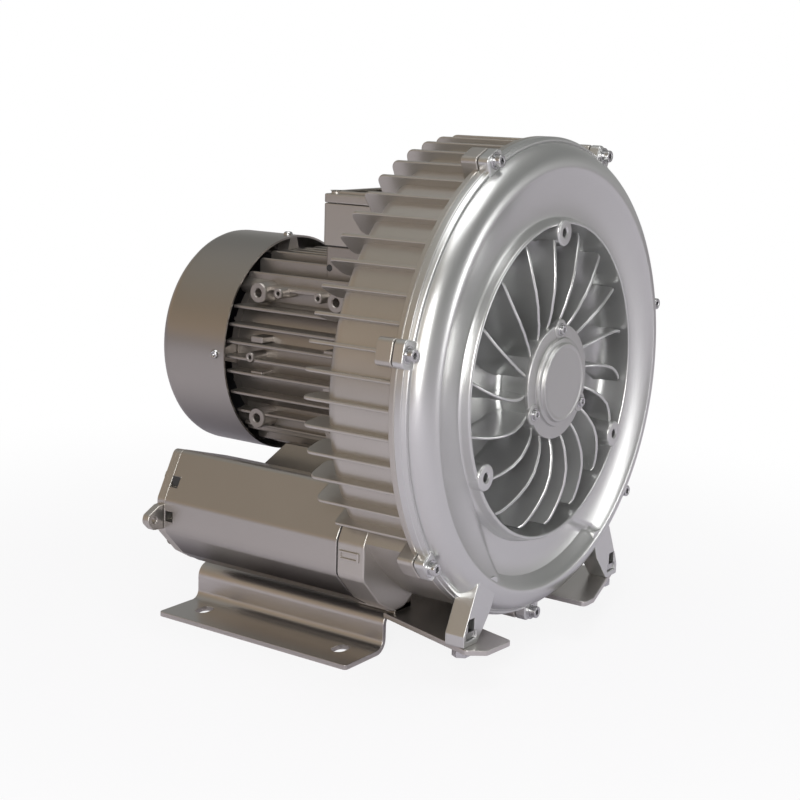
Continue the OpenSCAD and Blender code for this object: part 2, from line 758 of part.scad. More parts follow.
module impeller() color(cast_colour) placed() difference() {
    union() {
        ring_y(impeller_r, channel_centre_r - channel_r - rim_wall, impeller_gap, impeller_back_y);
        rod_y(channel_centre_r, web_y, web_y + web_t);
        rod_y(impeller_hub_r, impeller_hub_y, impeller_back_y);
    }
    impeller_pocket(impeller_gap);
    impeller_pocket(impeller_back_y);
    rod_y(impeller_seat_r + seat_gap, impeller_hub_y - cut, impeller_back_y + cut);
    box_span(-key_w / 2 - seat_gap, key_w / 2 + seat_gap, impeller_hub_y - cut, impeller_back_y + cut,
        0, impeller_seat_r + key_w * 0.4 + seat_gap);
    around(web_hole_count, impeller_hub_r * 2, 180 / web_hole_count)
        rod_y(impeller_hub_r * 0.3, web_y - cut, web_y + web_t + cut);
}

module impeller_key() color(steel_colour) placed()
    box_span(-key_w / 2, key_w / 2, impeller_hub_y + cut, impeller_back_y - cut,
        impeller_seat_r - key_w / 2, impeller_seat_r + key_w * 0.4);

module spacer_sleeve() color(steel_colour) placed()
    ring_y(sleeve_r, bearing_seat_r + seat_gap, shoulder_y, impeller_hub_y);

module bearing_locknut() color(steel_colour) placed() difference() {
    ring_y(sleeve_r, bearing_seat_r + seat_gap, bearing_y - locknut_t, bearing_y);
    around(frame_screw_count, sleeve_r, 45)
        box_span(-key_w * 0.3, key_w, bearing_y - locknut_t - cut, bearing_y + cut,
            -key_w * 0.3, key_w * 0.3);
}

// Deep groove bearing parts, from the front face at y0
module bearing_outer(y0) {
    difference() {
        ring_y(bearing_r, bearing_r - ring_t, y0, y0 + bearing_w);
        spin_y() translate([race_r, y0 + bearing_w / 2]) circle(r = ball_r + running_gap);
    }
}

module bearing_inner(y0) {
    difference() {
        ring_y(bearing_seat_r + ring_t, bearing_seat_r + seat_gap, y0, y0 + bearing_w);
        spin_y() translate([race_r, y0 + bearing_w / 2]) circle(r = ball_r + running_gap);
    }
}

module bearing_balls(y0) {
    around(ball_count, race_r) translate([0, y0 + bearing_w / 2, 0]) sphere(r = ball_r, $fn = 32);
}

module bearing_cage(y0) {
    half = ring_t * 0.27;
    difference() {
        ring_y(race_r + half, race_r - half, y0 + bearing_w * 0.2, y0 + bearing_w * 0.8);
        around(ball_count, race_r) translate([0, y0 + bearing_w / 2, 0])
            rotate([0, 90, 0]) cylinder(r = ball_r + seat_gap, h = ring_t * 2, center = true);
    }
}

module front_bearing_outer_ring() color(steel_colour) placed() bearing_outer(bearing_y);
module front_bearing_inner_ring() color(steel_colour) placed() bearing_inner(bearing_y);
module front_bearing_balls() color(steel_colour) placed() bearing_balls(bearing_y);
module front_bearing_cage() color(steel_colour) placed() bearing_cage(bearing_y);
module rear_bearing_outer_ring() color(steel_colour) placed() bearing_outer(rear_bearing_y);
module rear_bearing_inner_ring() color(steel_colour) placed() bearing_inner(rear_bearing_y);
module rear_bearing_balls() color(steel_colour) placed() bearing_balls(rear_bearing_y);
module rear_bearing_cage() color(steel_colour) placed() bearing_cage(rear_bearing_y);

module bearing_preload_spring() color(steel_colour) placed()
    ring_y(bearing_r - seat_gap, bearing_r - ring_t, cap_back_y, bearing_y);

module bearing_cap() color(cover_colour) placed() difference() {
    union() {
        rod_y(hub_r, cap_front_y, cap_back_y);
        rod_y(cap_disc_r + cap_flange_t, cap_front_y - cap_disc_rise / 2, cap_back_y);
        rod_y(cap_disc_r, cap_front_y - cap_disc_rise, cap_back_y);
        around(cap_screw_count, cap_screw_circle_r, 90) rod_y(cap_ear_r, cap_front_y - cut, cap_back_y - cut / 2);
    }
    rod_y(bearing_r - ring_t, cap_front_y - cap_disc_rise + cap_flange_t, cap_back_y + cut);
    ring_y(cap_seal_r + seat_gap, bearing_r + seat_gap * 2, cap_back_y - cut, cap_back_y + cut);
    around(cap_screw_count, cap_screw_circle_r, 90) 
        rod_y(small_screw_r + screw_gap, cap_front_y - cut * 3, cap_back_y + cut);
}

module bearing_cap_seal() color(rubber_colour) placed()
    ring_y(cap_seal_r, bearing_r + seat_gap * 3, cap_back_y - cut, cap_back_y);

module bearing_cap_screws() color(steel_colour) placed()
    around(cap_screw_count, cap_screw_circle_r, 90)
        translate([0, cap_front_y - cut, 0])
            socket_screw(small_screw_r, cap_flange_t + locknut_t, small_screw_r * 2, small_screw_r * 1.5);

module shaft_seal(y0, w, ro) {
    lip = rotor_seat_r + seal_gap;
    spin_y() polygon([
        [lip, y0 + w * 0.45], [lip + w * 0.3, y0], [ro, y0], [ro, y0 + w], [ro - w * 0.25, y0 + w],
        [ro - w * 0.25, y0 + w * 0.3], [lip + w * 0.35, y0 + w * 0.3],
        [lip + w * 0.1, y0 + w * 0.7], [lip, y0 + w * 0.6]
    ]);
}

module impeller_shaft_seal() color(rubber_colour) placed() shaft_seal(seal_y, seal_w, seal_r);
module motor_shaft_seal() color(rubber_colour) placed() shaft_seal(motor_seal_y, rear_wall_t, motor_seal_r);

module motor_shaft() color(steel_colour) placed() difference() {
    union() {
        rod_y(bearing_seat_r, shaft_front_y, impeller_hub_y);
        rod_y(impeller_seat_r, impeller_hub_y, impeller_back_y);
        rod_y(rotor_seat_r, impeller_back_y, rear_bearing_y);
        rod_y(bearing_seat_r, rear_bearing_y, shield_back_y + cut * 2);
        rod_y(fan_seat_r, shield_back_y, shaft_end_y);
    }
    box_span(-key_w / 2 - seat_gap, key_w / 2 + seat_gap, impeller_hub_y + cut, impeller_back_y - cut,
        impeller_seat_r - key_w / 2 - seat_gap, impeller_seat_r * 2);
    ring_y(bearing_seat_r * 2, bearing_seat_r - cut, rear_bearing_end_y, rear_bearing_end_y + cut + seat_gap);
}

module rear_circlip() color(steel_colour) placed() difference() {
    ring_y(bearing_seat_r + cut * 2, bearing_seat_r - cut + seat_gap, rear_bearing_end_y,
        rear_bearing_end_y + cut);
    box_span(-key_w / 3, key_w / 3, rear_bearing_end_y, rear_bearing_end_y + cut * 2,
        -bearing_seat_r * 2, 0);
}

// Motor
module motor_fins() {
    for (s = side_fin_shares) box_span(-motor_fin_r, motor_fin_r, housing_rear_y, barrel_end_y,
        s * side_fin_pitch - motor_fin_t / 2, s * side_fin_pitch + motor_fin_t / 2);
    for (k = [-top_fin_reach : top_fin_reach])
        box_span(k * top_fin_pitch - motor_fin_t / 2, k * top_fin_pitch + motor_fin_t / 2,
            housing_rear_y, barrel_end_y, -motor_fin_r, motor_fin_r);
}

module side_bosses(r, deep) {
    for (side = [-1, 1]) for (dy = [0, boss_pitch_y]) for (dz = [-1, 1])
        translate([side * boss_face_x, boss_front_y + dy, dz * boss_pitch_z / 2])
            rotate([0, -side * 90, 0]) cylinder(r = r, h = deep);
}

module small_bosses(r, deep) {
    for (p = small_boss_shares)
        translate([-boss_face_x * p[2], boss_front_y + p[0] * boss_pitch_y, p[1] * boss_pitch_z])
            rotate([0, 90, 0]) cylinder(r = r, h = deep);
}

module motor_housing() color(cast_colour) placed() difference() {
    union() {
        rod_y(barrel_r, housing_rear_y, barrel_end_y);
        rod_y(seat_ring_r, housing_rear_y, housing_rear_y + motor_flange_t);
        intersection() {
            motor_fins();
            rod_y(motor_fin_r, housing_rear_y, barrel_end_y);
            box_span(-motor_fin_r, motor_fin_r, housing_rear_y, barrel_end_y, -top_fin_z, top_fin_z);
        }
        side_bosses(boss_r, boss_face_x - barrel_bore_r * 0.7);
        small_bosses(boss_r / 2, boss_face_x - barrel_bore_r * 0.7);
        for (side = [-1, 1]) box_span(side * boss_face_x * 0.78 - boss_r * 1.2,
            side * boss_face_x * 0.78 + boss_r * 1.2, boss_front_y, boss_front_y + boss_pitch_y,
            boss_pitch_z * 0.52, boss_pitch_z * 0.52 + motor_fin_t * 1.5);
        box_span(-box_half_w + cut * 2, box_half_w - cut * 2, box_front_y + cut * 2, box_rear_y - cut * 2,
            0, pedestal_top);
        around(frame_screw_count, shield_screw_circle_r, 45)
            rod_y(boss_r * 0.8, barrel_end_y - boss_r * 3, barrel_end_y);
    }
    rod_y(barrel_bore_r, housing_rear_y - cut, barrel_end_y + cut);
    side_bosses(tapped_r, boss_r * 1.6);
    small_bosses(small_screw_r * 0.85, boss_r);
    box_span(-box_half_w * 0.5, box_half_w * 0.5, box_mid_y - box_half_w * 0.4, box_mid_y + box_half_w * 0.4,
        barrel_bore_r / 2, pedestal_top + cut);
    around(frame_screw_count, motor_bolt_circle_r, 45)
        rod_y(frame_bolt_r + screw_gap, housing_rear_y - cut, housing_rear_y + motor_flange_t + cut);
    around(frame_screw_count, motor_bolt_circle_r, 45)
        rod_y(frame_bolt_r * 1.9, housing_rear_y + motor_flange_t, housing_rear_y + motor_flange_t * 4);
    around(frame_screw_count, shield_screw_circle_r, 45)
        rod_y(small_screw_r + seat_gap, barrel_end_y - boss_r * 2, barrel_end_y + cut);
    for (side = [-1, 1])
        translate([side * (box_half_w - boss_r) - boss_r, box_rear_y - boss_r * 0.75,
            pedestal_top - boss_r * 2]) rotate([0, 90, 0])
            cylinder(r = small_screw_r + seat_gap, h = boss_r * 2);
}

module motor_mounting_bolts() color(steel_colour) placed()
    around(frame_screw_count, motor_bolt_circle_r, 45)
        translate([0, housing_rear_y + motor_flange_t, 0]) rotate([0, 0, 180])
            socket_screw(frame_bolt_r, motor_flange_t + seat_ring_wall * 0.8,
                frame_bolt_r * 1.6, frame_bolt_r * 1.6);

module stator_core() color(steel_colour) placed() difference() {
    rod_y(barrel_bore_r - seat_gap, stator_y, stator_end_y);
    rod_y(stator_bore_r, stator_y - cut, stator_end_y + cut);
    around(stator_slots, 0) box_span(stator_bore_r - cut, stator_bore_r + slot_depth,
        stator_y - cut, stator_end_y + cut, -slot_half_w, slot_half_w);
}

module stator_windings() color(copper_colour) placed() {
    inner = stator_bore_r + cut;
    outer = stator_bore_r + slot_depth - cut;
    ring_y(outer + cut * 3, inner, stator_y - winding_head, stator_y - seat_gap);
    ring_y(outer + cut * 3, inner, stator_end_y + seat_gap, stator_end_y + winding_head);
    around(stator_slots, 0) box_span(inner, outer, stator_y - cut, stator_end_y + cut,
        -slot_half_w * 0.8, slot_half_w * 0.8);
}

module rotor_core() color(steel_colour) placed() difference() {
    union() {
        rod_y(stator_bore_r - air_gap, stator_y, stator_end_y);
        rod_y(stator_bore_r * 0.85, stator_y - winding_head / 2, stator_end_y + winding_head / 2);
    }
    rod_y(rotor_seat_r + seat_gap, stator_y - winding_head, stator_end_y + winding_head);
}

module shield_lug() {
    along_y(barrel_end_y, shield_back_y - bearing_w * 0.6)
        polygon([
            [barrel_r * 0.8, -boss_r * 1.5], [barrel_r * 0.8, boss_r * 1.5],
            [cowl_r - cowl_t - seat_gap * 4, boss_r * 0.5], [cowl_r - cowl_t - seat_gap * 4, -boss_r * 0.5]
        ]);
}

module rear_end_shield() color(cast_colour) placed() difference() {
    union() {
        rod_y(barrel_r, barrel_end_y, barrel_end_y + shield_t);
        rod_y(bearing_r + shield_t, barrel_end_y, shield_back_y);
        rod_y(barrel_bore_r - seat_gap, barrel_end_y - shield_t / 2, barrel_end_y);
        around(frame_screw_count, 0) shield_lug();
        around(frame_screw_count, shield_screw_circle_r, 45)
            rod_y(boss_r * 0.8, barrel_end_y, barrel_end_y + shield_t);
        around(shield_rib_count, 0, 180 / shield_rib_count)
            box_span(bearing_r, barrel_r * 0.95, barrel_end_y, barrel_end_y + shield_t * 1.8,
                -motor_fin_t / 2, motor_fin_t / 2);
    }
    rod_y(bearing_r + seat_gap, rear_bearing_y, shield_back_y + cut);
    rod_y(rotor_seat_r + running_gap * 2, barrel_end_y - shield_t, shield_back_y);
    rod_y(barrel_bore_r * 0.85, barrel_end_y - shield_t, barrel_end_y - shield_t / 8);
    around(frame_screw_count, shield_screw_circle_r, 45) 
        rod_y(small_screw_r + screw_gap, barrel_end_y - cut, barrel_end_y + shield_t + cut);
    around(frame_screw_count, 0) translate([barrel_r, cowl_screw_y, 0])
        rotate([0, 90, 0]) cylinder(r = small_screw_r + seat_gap, h = barrel_r);
}

module end_shield_screws() color(steel_colour) placed()
    around(frame_screw_count, shield_screw_circle_r, 45)
        translate([0, barrel_end_y + shield_t, 0]) rotate([0, 0, 180])
            socket_screw(small_screw_r, shield_t + boss_r, small_screw_r * 1.9, small_screw_r * 1.4);

module cooling_fan() color(dark_colour) placed() difference() {
    union() {
        rod_y(fan_seat_r * 1.9, fan_y, fan_y + fan_w);
        rod_y(fan_r * 0.8, fan_y, fan_y + motor_fin_t);
        around(fan_blades, 0)
            box_span(fan_seat_r, fan_r, fan_y, fan_y + fan_w, -motor_fin_t / 2, motor_fin_t / 2);
    }
    rod_y(fan_seat_r + seat_gap, fan_y - cut, fan_y + fan_w + cut);
}

module fan_clip() color(steel_colour) placed()
    ring_y(fan_seat_r * 1.5, fan_seat_r + seat_gap, fan_y + fan_w, fan_y + fan_w + cowl_t);

module cowl_section(r, rear, edge) {
    difference() {
        square([r, rear - cowl_front_y]);
        translate([r - edge, rear - cowl_front_y - edge]) difference() {
            square([edge + cut, edge + cut]);
            circle(r = edge);
        }
    }
}

module fan_cowl() color(cast_colour) placed() difference() {
    translate([0, cowl_front_y, 0]) spin_y() difference() {
        cowl_section(cowl_r, cowl_rear_y, cowl_edge_r);
        translate([0, -cut]) cowl_section(cowl_r - cowl_t, cowl_rear_y - cowl_t + cut, cowl_edge_r - cowl_t);
    }
    for (k = [2 : grille_rings]) for (q = [0 : grille_sectors - 1])
        spin_y(grille_step - grille_bar, grille_bar / 2 + q * grille_step)
            translate([k * grille_pitch, cowl_rear_y - cowl_t * 2])
                square([grille_pitch * 0.5, cowl_t * 3]);
    around(frame_screw_count, 0) translate([barrel_r, cowl_screw_y, 0])
        rotate([0, 90, 0]) cylinder(r = small_screw_r + screw_gap, h = barrel_r);
}

module cowl_screws() color(steel_colour) placed()
    around(frame_screw_count, 0) translate([cowl_r, cowl_screw_y, 0]) rotate([0, 0, 90])
        socket_screw(small_screw_r, boss_r, small_screw_r * 2, small_screw_r * 1.3);

// Terminal box
module box_outline(inset) {
    translate([-box_half_w + inset, box_front_y + inset])
        square([box_half_w * 2 - inset * 2, box_rear_y - box_front_y - inset * 2]);
}

module at_box_corners(share = 0.82) {
    for (sx = [-1, 1]) for (sy = [-1, 1])
        translate([sx * box_half_w * share, box_mid_y + sy * (box_rear_y - box_front_y) / 2 * share, 0])
            children();
}

module terminal_box_base() color(cast_colour) placed() difference() {
    translate([0, 0, box_base_z]) linear_extrude(height = box_h) box_outline(0);
    difference() {
        translate([0, 0, box_base_z + box_wall]) linear_extrude(height = box_h) box_outline(box_wall);
        at_box_corners() translate([0, 0, box_base_z]) cylinder(r = boss_r * 0.7, h = box_h);
    }
    at_box_corners() translate([0, 0, lid_z - boss_r * 1.5])
        cylinder(r = small_screw_r + seat_gap, h = boss_r * 2);
    translate([0, box_mid_y, pedestal_top]) cylinder(r = box_half_w * 0.3, h = box_h / 2);
    for (k = [-1, 1]) translate([box_half_w * 0.8, box_mid_y + k * gland_pitch / 2, box_base_z + box_h / 2])
        rotate([0, 90, 0]) cylinder(r = gland_r + seat_gap, h = box_half_w);
}

module terminal_box_lid() color(cast_colour) placed() difference() {
    union() {
        translate([0, 0, lid_z]) linear_extrude(height = lid_h * 0.75) box_outline(-seat_gap);
        translate([0, 0, lid_z]) linear_extrude(height = lid_h) box_outline(box_wall * 1.6);
    }
    difference() {
        translate([0, 0, lid_z - cut]) linear_extrude(height = lid_h * 0.6) box_outline(box_wall * 1.5);
        at_box_corners() translate([0, 0, lid_z]) cylinder(r = boss_r * 0.7, h = lid_h);
    }
    at_box_corners() translate([0, 0, lid_z - cut]) cylinder(r = small_screw_r + screw_gap, h = lid_h * 2);
    at_box_corners() translate([0, 0, lid_z + lid_h * 0.62]) cylinder(r = small_screw_r * 2.2, h = lid_h);
}

module terminal_lid_screws() color(steel_colour) placed()
    at_box_corners() translate([0, 0, lid_z + lid_h * 0.62]) rotate([-90, 0, 0])
        socket_screw(small_screw_r, lid_h * 0.62 + boss_r, small_screw_r * 1.9, small_screw_r * 1.4);

module terminal_box_gasket() color(rubber_colour) placed()
    translate([0, 0, pedestal_top]) linear_extrude(height = box_gasket_t) difference() {
        box_outline(cut * 2);
        box_outline(box_wall * 3);
    }

module terminal_board() color(dark_colour) placed()
    translate([-box_half_w * 0.5, box_mid_y - box_half_w * 0.36, box_base_z + box_wall])
        cube([box_half_w, box_half_w * 0.72, box_wall * 2]);

module terminal_studs() color(copper_colour) placed()
    for (i = [-1, 0, 1]) for (j = [-1, 1])
        translate([i * box_half_w * 0.32, box_mid_y + j * box_half_w * 0.2, box_base_z + box_wall * 3]) {
            cylinder(r = small_screw_r, h = box_wall * 3);
            cylinder(r = small_screw_r * 2, h = box_wall, $fn = 6);
        }

module cable_gland() color(dark_colour) placed()
    translate([box_half_w, box_mid_y - gland_pitch / 2, box_base_z + box_h / 2])
    rotate([0, 90, 0]) difference() {
        union() {
            translate([0, 0, -box_wall * 1.5]) cylinder(r = gland_r, h = gland_r * 2);
            cylinder(r = gland_r * 1.35, h = gland_r * 0.5, $fn = 6);
            translate([0, 0, gland_r * 0.6]) cylinder(r = gland_r * 1.3, h = gland_r * 1.1, $fn = 12);
        }
        translate([0, 0, -box_wall * 2]) cylinder(r = gland_r * 0.6, h = gland_r * 4);
    }

module blanking_plug() color(dark_colour) placed()
    translate([box_half_w, box_mid_y + gland_pitch / 2, box_base_z + box_h / 2])
    rotate([0, 90, 0]) union() {
        translate([0, 0, -box_wall * 1.5]) cylinder(r = gland_r, h = box_wall * 1.6);
        cylinder(r = gland_r * 1.25, h = box_wall);
    }

module earth_screw() color(steel_colour) placed()
    translate([box_half_w - cut * 2, box_rear_y - boss_r * 0.75, pedestal_top - boss_r * 2])
        rotate([0, 0, 90])
            socket_screw(small_screw_r, boss_r * 0.9, small_screw_r * 1.9, small_screw_r * 1.4);

// Silencers
module silencer_body() {
    inner_share = 1 - silencer_wall / silencer_half_w;
    difference() {
        along_y(silencer_front_y, silencer_rear_y) difference() {
            silencer_outline();
            difference() {
                silencer_outline(inner_share);
                for (t = tie_shares) translate([t[0] * silencer_half_w, t[1] * silencer_half_h])
                    circle(r = tie_boss_r);
            }
            for (t = tie_shares) translate([t[0] * silencer_half_w, t[1] * silencer_half_h])
                circle(r = bolt_shank_r + screw_gap);
        }
        for (w = [0.52, -0.02])
            box_span(-silencer_half_w * 1.1, -silencer_half_w * 0.80,
                silencer_rear_y - notch_len, silencer_rear_y + cut,
                silencer_half_h * w - notch_len / 2, silencer_half_h * w + notch_len / 2);
    }
}

module silencer_foam() {
    foam_share = 1 - (silencer_wall + screw_gap) / silencer_half_w;
    along_y(silencer_front_y + cut, silencer_rear_y - port_spigot - cut * 2) difference() {
        silencer_outline(foam_share);
        circle(r = tube_r + screw_gap);
        for (t = tie_shares) translate([t[0] * silencer_half_w, t[1] * silencer_half_h])
            circle(r = tie_boss_r + screw_gap);
    }
}

module perforated_tube() {
    difference() {
        ring_y(tube_r, tube_r - tube_wall, silencer_front_y, silencer_rear_y - port_spigot - cut);
        for (k = [1 : tube_hole_rows]) translate([0, silencer_front_y + k * tube_hole_pitch, 0])
            around(tube_holes_round, 0, k * 180 / tube_holes_round)
                rotate([0, 90, 0]) cylinder(r = tube_hole_r, h = tube_r * 2);
    }
}

module port_flange() {
    difference() {
        union() {
            along_y(silencer_rear_y, port_flange_end_y) silencer_outline();
            rod_y(port_r + silencer_wall * 0.6, silencer_rear_y - port_spigot, port_flange_end_y);
            box_span(-silencer_half_w * 1.38, -silencer_half_w * 0.8,
                silencer_rear_y + cut, port_flange_end_y - cut, -notch_len * 1.5, notch_len * 0.7);
        }
        rod_y(port_r, silencer_rear_y - port_spigot - cut, port_flange_end_y + cut);
        for (t = tie_shares) at_tie(t) {
            rod_y(bolt_shank_r + screw_gap, silencer_rear_y - cut, port_flange_end_y + cut);
            rod_y(bolt_head_r + screw_gap, port_flange_end_y - bolt_head_h * 0.7, port_flange_end_y + cut);
        }
    }
}

module silencer_body_left() color(cast_colour) placed() at_silencer(-1) silencer_body();
module silencer_body_right() color(cast_colour) placed() at_silencer(1) silencer_body();
module silencer_foam_left() color(dark_colour) placed() at_silencer(-1) silencer_foam();
module silencer_foam_right() color(dark_colour) placed() at_silencer(1) silencer_foam();
module perforated_tube_left() color(steel_colour) placed() at_silencer(-1) perforated_tube();
module perforated_tube_right() color(steel_colour) placed() at_silencer(1) perforated_tube();
module port_flange_left() color(cast_colour) placed() at_silencer(-1) port_flange();
module port_flange_right() color(cast_colour) placed() at_silencer(1) port_flange();

module silencer_gaskets() color(rubber_colour) placed()
    for (side = [-1, 1]) at_silencer(side) along_y(duct_rear_y, silencer_front_y)
    difference() {
        silencer_outline(0.98);
        circle(r = tube_r * 0.9);
        for (t = tie_shares) translate([t[0] * silencer_half_w, t[1] * silencer_half_h])
            circle(r = bolt_shank_r + screw_gap);
    }

module port_flange_screws() color(steel_colour) placed()
    for (side = [-1, 1]) at_silencer(side) for (t = tie_shares) at_tie(t)
        translate([0, port_flange_end_y - bolt_head_h * 0.7, 0]) rotate([0, 0, 180])
            socket_screw(bolt_shank_r, tie_len, bolt_head_r, bolt_head_h * 0.7);

// Base plate
module base_section() {
    start_x = deck_half_w - bend_r - sheet_t;
    foot_x = deck_half_w + bend_r;
    upper_z = deck_bottom_z - bend_r;
    lower_z = foot_top_z + bend_r;
    translate([-start_x, deck_bottom_z]) square([start_x * 2, sheet_t]);
    for (side = [0, 1]) mirror([side, 0]) {
        intersection() {
            translate([start_x, upper_z]) difference() {
                circle(r = bend_r + sheet_t);
                circle(r = bend_r);
            }
            translate([start_x, upper_z]) square([bend_r * 2 + sheet_t, bend_r * 2 + sheet_t]);
        }
        translate([deck_half_w - sheet_t, lower_z]) square([sheet_t, upper_z - lower_z]);
        intersection() {
            translate([foot_x, lower_z]) difference() {
                circle(r = bend_r + sheet_t);
                circle(r = bend_r);
            }
            translate([foot_x - bend_r * 2 - sheet_t, lower_z - bend_r * 2 - sheet_t])
                square([bend_r * 2 + sheet_t, bend_r * 2 + sheet_t]);
        }
        translate([foot_x, -axis_height]) square([foot_half_w - foot_x, sheet_t]);
    }
}

module base_slot(x, y) {
    straight = slot_len / 2 - slot_r;
    translate([x, y, -axis_height - cut]) {
        translate([-straight, 0, 0]) cylinder(r = slot_r, h = sheet_t + cut * 2);
        translate([straight, 0, 0]) cylinder(r = slot_r, h = sheet_t + cut * 2);
        translate([-straight, -slot_r, 0]) cube([straight * 2, slot_r * 2, sheet_t + cut * 2]);
    }
}

module base_plate() color(steel_colour) placed() difference() {
    union() {
        along_y(foot_front_y, foot_rear_y) base_section();
        translate([0, 0, deck_bottom_z]) linear_extrude(height = sheet_t)
            polygon([for (p = tongue_shares)
                [p[0] * deck_half_w, foot_front_y + p[1] * (tongue_front_y - foot_front_y)]]);
    }
    for (sx = [-1, 1]) for (sy = [-1, 1])
        base_slot(sx * slot_spacing_x / 2, foot_mid_y + sy * slot_spacing_y / 2);
    at_base_bolts() translate([0, 0, deck_bottom_z - cut])
        cylinder(r = frame_bolt_r + screw_gap, h = sheet_t + cut * 2);
}

module at_base_bolts() {
    for (side = [-1, 1]) {
        translate([side * leg_bolt_x, leg_bolt_y, 0]) children();
        translate([side * rear_lug_x, rear_lug_y, 0]) children();
    }
}

module base_bolts() color(steel_colour) placed() at_base_bolts() {
    translate([0, 0, deck_bottom_z - base_head_h])
        cylinder(r = frame_bolt_r * 1.7, h = base_head_h, $fn = 6);
    translate([0, 0, deck_bottom_z - base_head_h / 2])
        cylinder(r = frame_bolt_r, h = sheet_t + base_head_h / 2 + leg_slot_h + nut_h);
}

module base_nuts() color(steel_colour) placed() {
    for (side = [-1, 1]) translate([side * leg_bolt_x, leg_bolt_y, -deck_drop + leg_slot_h])
    difference() {
        translate([-nut_w / 2, -nut_w / 2, 0]) cube([nut_w, nut_w, nut_h]);
        translate([0, 0, -cut]) cylinder(r = frame_bolt_r + seat_gap, h = nut_h + cut * 2);
    }
    for (side = [-1, 1]) translate([side * rear_lug_x, rear_lug_y, -deck_drop + rear_lug_h])
    difference() {
        cylinder(r = nut_w * 0.57, h = nut_h, $fn = 6);
        translate([0, 0, -cut]) cylinder(r = frame_bolt_r + seat_gap, h = nut_h + cut * 2);
    }
}

base_plate();
base_bolts();
base_nuts();
pump_housing();
cover_seal();
pump_cover();
cover_bolts();
impeller();
impeller_key();
spacer_sleeve();
bearing_locknut();
front_bearing_outer_ring();
front_bearing_inner_ring();
front_bearing_balls();
front_bearing_cage();
bearing_preload_spring();
bearing_cap();
bearing_cap_seal();
bearing_cap_screws();
impeller_shaft_seal();
motor_shaft_seal();
motor_housing();
motor_mounting_bolts();
stator_core();
stator_windings();
rotor_core();
motor_shaft();
rear_end_shield();
end_shield_screws();
rear_bearing_outer_ring();
rear_bearing_inner_ring();
rear_bearing_balls();
rear_bearing_cage();
rear_circlip();
cooling_fan();
fan_clip();
fan_cowl();
cowl_screws();
terminal_box_base();
terminal_box_lid();
terminal_lid_screws();
terminal_box_gasket();
terminal_board();
terminal_studs();
cable_gland();
blanking_plug();
earth_screw();
silencer_body_left();
silencer_body_right();
silencer_foam_left();
silencer_foam_right();
perforated_tube_left();
perforated_tube_right();
silencer_gaskets();
port_flange_left();
port_flange_right();
port_flange_screws();
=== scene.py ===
# Single-stage side channel blower with its motor in line behind it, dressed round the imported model.
# Sizes in the sections are millimetres from the motor axis, with y = 0 at the joint of the two pump casings.
# The studio and the places that the coats read are in metres of the part's own frame.
import json
import math

import bmesh
import bpy
from mathutils import Matrix, Vector
from mathutils.geometry import tessellate_polygon


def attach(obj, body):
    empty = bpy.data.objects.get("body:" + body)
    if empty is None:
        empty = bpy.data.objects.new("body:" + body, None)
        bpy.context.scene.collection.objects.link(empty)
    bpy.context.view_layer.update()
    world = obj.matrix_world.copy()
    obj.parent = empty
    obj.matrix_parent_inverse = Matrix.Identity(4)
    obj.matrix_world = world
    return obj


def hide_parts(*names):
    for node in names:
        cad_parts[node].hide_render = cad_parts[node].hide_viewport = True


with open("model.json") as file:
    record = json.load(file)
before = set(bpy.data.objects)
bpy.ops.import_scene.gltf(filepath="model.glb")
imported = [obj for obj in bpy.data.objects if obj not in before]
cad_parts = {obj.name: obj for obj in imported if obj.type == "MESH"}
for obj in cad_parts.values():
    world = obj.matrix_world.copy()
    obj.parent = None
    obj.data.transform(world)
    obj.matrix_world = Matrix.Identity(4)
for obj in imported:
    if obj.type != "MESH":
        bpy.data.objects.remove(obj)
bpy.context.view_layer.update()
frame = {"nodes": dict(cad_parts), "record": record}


# Camera and studio
# The blower stands on a plain white table in a light tent, seen from its front left and a little above.
# A large soft window is behind the camera, and a dull warm brown wall is beyond the tent.
class Net:
    """The nodes of one shader or geometry tree."""

    def __init__(self, tree):
        self.tree = tree

    def node(self, kind, settings=None, values=None, out=0):
        """Adds a node with its settings and the values or links of its sockets, and gives one output."""
        made = self.tree.nodes.new(kind)
        for name, setting in (settings or {}).items():
            if name == "stops":
                ramp = made.color_ramp
                while len(ramp.elements) < len(setting):
                    ramp.elements.new(0.5)
                for element, (place, colour) in zip(ramp.elements, setting):
                    element.position = place
                    element.color = (*colour, 1)
            else:
                setattr(made, name, setting)
        for name, value in (values or {}).items():
            if isinstance(value, Wire):
                self.tree.links.new(value.socket, made.inputs[name])
            else:
                made.inputs[name].default_value = value
        if made.outputs:
            return Wire(self, made.outputs[out])
        return made


